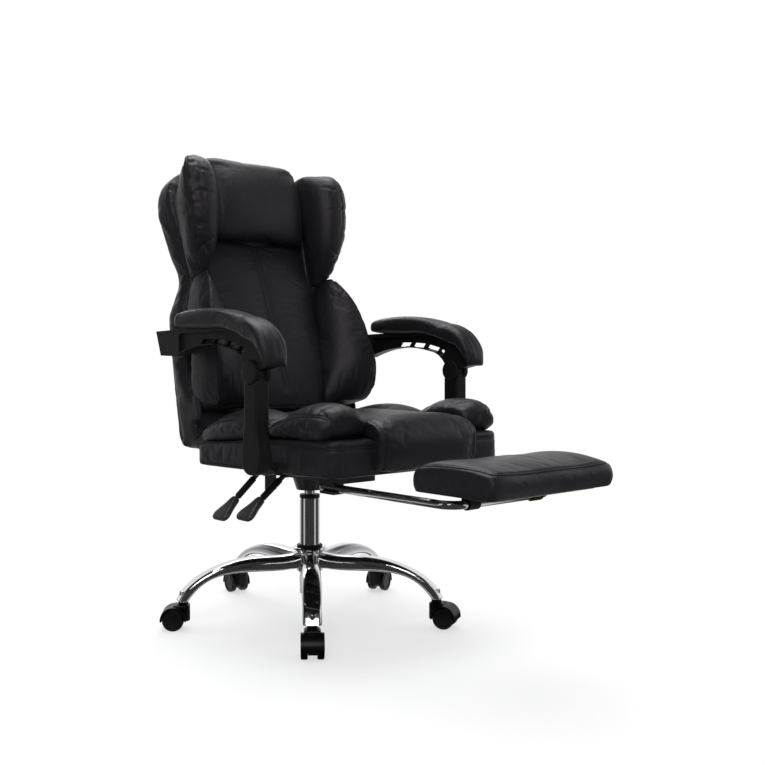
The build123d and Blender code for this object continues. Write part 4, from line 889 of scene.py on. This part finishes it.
# Seams of the back on the sitter's left, in its own measures
SHELL_EDGE = [
    (0, -18), (180, -18), (222, -4), (233, 60), (233, 280), (222, 322), (197, 372), (191, 393), (197, 416),
    (219, 480), (224, 540), (223, 590), (206, 632), (168, 652), (0, 655),
]
BACK_LINE = [(-20, 481), (-26, 431), (-38, 361), (-50, 291), (-60, 211), (-70, 141), (-77, 91)]
PILLOW_LINE = [(-26, 489), (-54, 497), (-74, 531), (-78, 591), (-72, 646), (-55, 679), (-30, 691)]
WING_SEAM = [
    (214, -48, 390), (234, -93, 451), (244, -119, 527), (249, -126, 591), (241, -118, 650), (226, -90, 676),
]
LUMBAR_SEAM = [
    (228, -107, 66), (242, -146, 107), (242, -150, 190), (235, -134, 280), (215, -110, 351), (204, -84, 380),
]


def make_arms():
    for side, _ in sides():
        soft(f"arm_pad_{side}", f"arm_{side}", 0.004, slack=0.012, cap=0.004)


def make_folds():
    """Creases that the leather has taken in use."""
    for side, sign in sides():
        for node, folds, place in (
            (f"wing_pillow_{side}", WING_FOLDS, on_back),
            (f"lumbar_bolster_{side}", LUMBAR_FOLDS, on_back),
            (f"front_bolster_{side}", TIP_FOLDS, on_seat),
            ("seat_cushion", CUSHION_FOLDS, on_seat),
            (f"arm_pad_{side}", ARM_FOLDS, on_seat),
        ):
            surface = surface_of(SOFT[node]["piece"])
            for points, depth, width in folds:
                laid = [place(sign * x, *rest) for x, *rest in points]
                fold(SOFT[node], surface, laid, depth * MM, width * MM)


# Folds on the sitter's left: points, then depth and width, in millimetres
WING_FOLDS = (
    (((214, -120, 655), (217, -126, 600), (214, -122, 545), (206, -108, 490)), 2.2, 7),
    (((190, -112, 560), (212, -124, 566), (238, -128, 562)), 1.8, 6),
    (((188, -92, 470), (206, -98, 448), (222, -84, 425)), 2.0, 6),
    (((192, -76, 430), (208, -92, 450), (228, -98, 476)), 1.8, 6),
    (((184, -104, 622), (204, -120, 612), (226, -124, 618)), 1.4, 6),
)
LUMBAR_FOLDS = (
    (((150, -92, 70), (152, -104, 96), (158, -110, 126)), 1.1, 6),
    (((176, -104, 68), (180, -124, 98), (186, -130, 132)), 1.2, 6),
    (((203, -112, 68), (208, -138, 98), (212, -146, 128)), 1.1, 6),
    (((196, -106, 322), (206, -112, 342), (212, -104, 362)), 0.9, 6),
    (((178, -98, 300), (190, -104, 330), (198, -94, 360)), 0.8, 6),
    (((160, -118, 200), (190, -138, 214), (226, -148, 210)), 0.6, 8),
)
TIP_FOLDS = (
    (((212, -380, 492), (222, -362, 512), (224, -338, 528)), 1.1, 5),
    (((230, -370, 494), (238, -350, 510), (236, -326, 524)), 1.1, 5),
    (((196, -382, 486), (200, -364, 510), (204, -342, 526)), 0.9, 5),
    (((244, -346, 486), (252, -322, 490), (257, -298, 492)), 0.96, 5),
)
CUSHION_FOLDS = (
    (((139, -398, 486), (118, -404, 478), (92, -408, 474)), 0.96, 6),
    (((141, -408, 462), (120, -413, 456), (98, -414, 452)), 0.96, 6),
    (((141, -410, 440), (122, -414, 436), (104, -414, 436)), 0.84, 6),
)
ARM_FOLDS = (
    (((270, 62, 716), (286, 58, 731), (310, 56, 732)), 0.72, 4.5),
    (((332, 60, 712), (322, 50, 730), (300, 44, 733)), 0.72, 4.5),
    (((268, 34, 716), (282, 30, 732), (300, 28, 735)), 0.6, 4.5),
    (((300, -274, 630), (298, -262, 668), (296, -240, 694)), 0.84, 5),
    (((284, -268, 632), (284, -254, 668), (286, -232, 692)), 0.72, 5),
    (((318, -268, 632), (318, -254, 668), (314, -232, 692)), 0.72, 5),
)


# Small hard pieces
def sheet_mesh(name, across, along, level, holes):
    """Flat sheet cut at the given lines, without the cells inside holes."""
    verts = [on_seat(x, y, level) for y in along for x in across]
    faces = []
    for row, (y0, y1) in enumerate(zip(along, along[1:])):
        for column, (x0, x1) in enumerate(zip(across, across[1:])):
            x, y = (x0 + x1) / 2, (y0 + y1) / 2
            if not any(a < x < b and c < y < d for a, b, c, d in holes):
                first = row * len(across) + column
                faces.append((first, first + 1, first + 1 + len(across), first + len(across)))
    return mesh_of(name, verts, faces)


def thicken(piece, depth):
    """Gives a flat sheet a thickness below it, in millimetres."""
    thick = piece.modifiers.new("thick", "SOLIDIFY")
    thick.thickness = depth * MM
    thick.offset = -1
    bake(piece)


def dust_cover(name, body, across, along, level, holes):
    """Thin black sheet stapled under a board."""
    piece = hard_piece(name, sheet_mesh(name, across, along, level, holes), body, "plastic")
    thicken(piece, 0.8)


def ring_mesh(name, profile, steps=72):
    """Ring round the column from a closed profile of (radius, height)."""
    verts, faces = [], []
    count = len(profile)
    for step in range(steps):
        turn = 2 * math.pi * step / steps
        verts += [on_seat(r * math.cos(turn), r * math.sin(turn), z) for r, z in profile]
        here, there = step * count, (step + 1) % steps * count
        for k in range(count):
            nxt = (k + 1) % count
            faces.append((here + k, there + k, there + nxt, here + nxt))
    return mesh_of(name, verts, faces)


GRIP_WIDER = 1.25


def make_grips():
    """Smooth lever grips, a little wider than the CAD's paddles."""
    for lever in ("height_lever", "recline_lever"):
        grip = remeshed(lever + "_grip", lever + "_paddle", 0.0018)
        co = coords(grip.data)
        middle = co[:, 1].mean()
        co[:, 1] = middle + GRIP_WIDER * (co[:, 1] - middle)
        set_coords(grip.data, co)
        relax(grip, 4)
        grip.data.materials.clear()
        grip.data.materials.append(MATERIALS["paddle"])
        shade_smooth(grip)
        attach(grip, lever)
        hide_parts(lever + "_paddle")


# Levers: root's x and z and reach across; then each lever's y, drop, and the sleeve's start and end along it
LEVER_ROOT = (-185, 372)
LEVER_REACH = 113
LEVERS = (("height", -48, 97, 0.14, 0.53), ("recline", -140, 86, 0.10, 0.52))
KNUCKLE = (301, -199, 600)  # pivot at the front of the sitter's left arm
KNUCKLE_CAP = (  # distance from the arm's middle and share of the cap's radius
    (14.2, 1), (15, 1), (19, 1), (20, 0.97), (20.4, 0.93), (20.5, 0.8), (20.52, 0.1),
)
COLLAR = [(25.3, 173.2), (31, 173.2), (31, 176.5), (29.5, 178.5), (25.3, 179)]


def sleeve_rib(i, count):
    """Share of a ribbed sleeve's radius at one of its points."""
    if i in (0, count - 1):
        return 0.8
    return 1.0 if i % 4 in (1, 2) else 0.9


def cap_edge(i, count):
    return KNUCKLE_CAP[i][1]


def make_small_parts():
    """Dust covers, lever sleeves, knuckle caps, lever bracket and column collar."""
    dust_cover(
        "seat_dust_cover", "seat",
        (-216, -165, -131, -107, 107, 131, 165, 216), (-346, -284, -233, -181, 66), 391.8,
        [(-107, 107, -181, 66), (-165, -131, -284, -233), (131, 165, -284, -233)],
    )
    dust_cover(
        "footrest_dust_cover", "footrest", (-150, -112, -78, 78, 112, 150), (-706, -618, -590, -556), 373.8,
        [(-112, -78, -618, -590), (78, 112, -618, -590)],
    )
    x, z = LEVER_ROOT
    for lever, y, drop, start, end in LEVERS:
        name = lever + "_lever_sleeve"
        line = [on_seat(x - LEVER_REACH * t, y, z - drop * t) for t in np.linspace(start, end, 41)]
        mesh = tube_mesh(name, [np.array(line)], 0.0078, 20, sleeve_rib)
        shade_smooth(hard_piece(name, mesh, lever + "_lever", "plastic"))
    for side, sign in sides():
        name = f"arm_knuckle_caps_{side}"
        x, y, z = KNUCKLE
        caps = [np.array([on_seat(sign * x + way * step, y, z) for step, _ in KNUCKLE_CAP]) for way in (-1, 1)]
        mesh = tube_mesh(name, caps, 0.0248, 48, cap_edge)
        shade_smooth(hard_piece(name, mesh, f"arm_{side}", "plastic"))
    bracket = sheet_mesh("lever_bracket", (-199, -170), (-92, -88), 391.5, [])
    piece = hard_piece("lever_bracket", bracket, "seat", "painted_steel")
    thicken(piece, 56)
    hard_piece("column_collar", ring_mesh("column_collar", COLLAR), "base", "plastic")


# Seams' depth and width; then spacing, depth and reach of the wings' gathers, in metres
SEAM = (0.0018, 0.005)
GATHERS = {"wing_pillow_left": (0.022, 0.008, 0.012), "wing_pillow_right": (0.026, 0.003, 0.012)}
SEWN_FLAT = ("back_pad", "seat_cushion", "head_pillow")  # stitched seams without piping
BESIDE = 0.005  # from a piped seam to its stitches

make_camera()
make_stage()
dress_nodes()
make_small_parts()
make_grips()
make_seat()
make_footrest()
make_back()
make_arms()
inflate()
for row in SOFT.values():
    subdivide(row["piece"])
    crease(row, *SEAM)
for node, sizes in GATHERS.items():
    gather(SOFT[node], *sizes)
make_folds()
for row in SOFT.values():
    surface = surface_of(row["piece"])
    if row["node"] in SEWN_FLAT:
        stitching(row, surface)
    elif row["lines"]:
        piping(row, surface)
        stitching(row, surface, BESIDE)
    finish_soft(row)
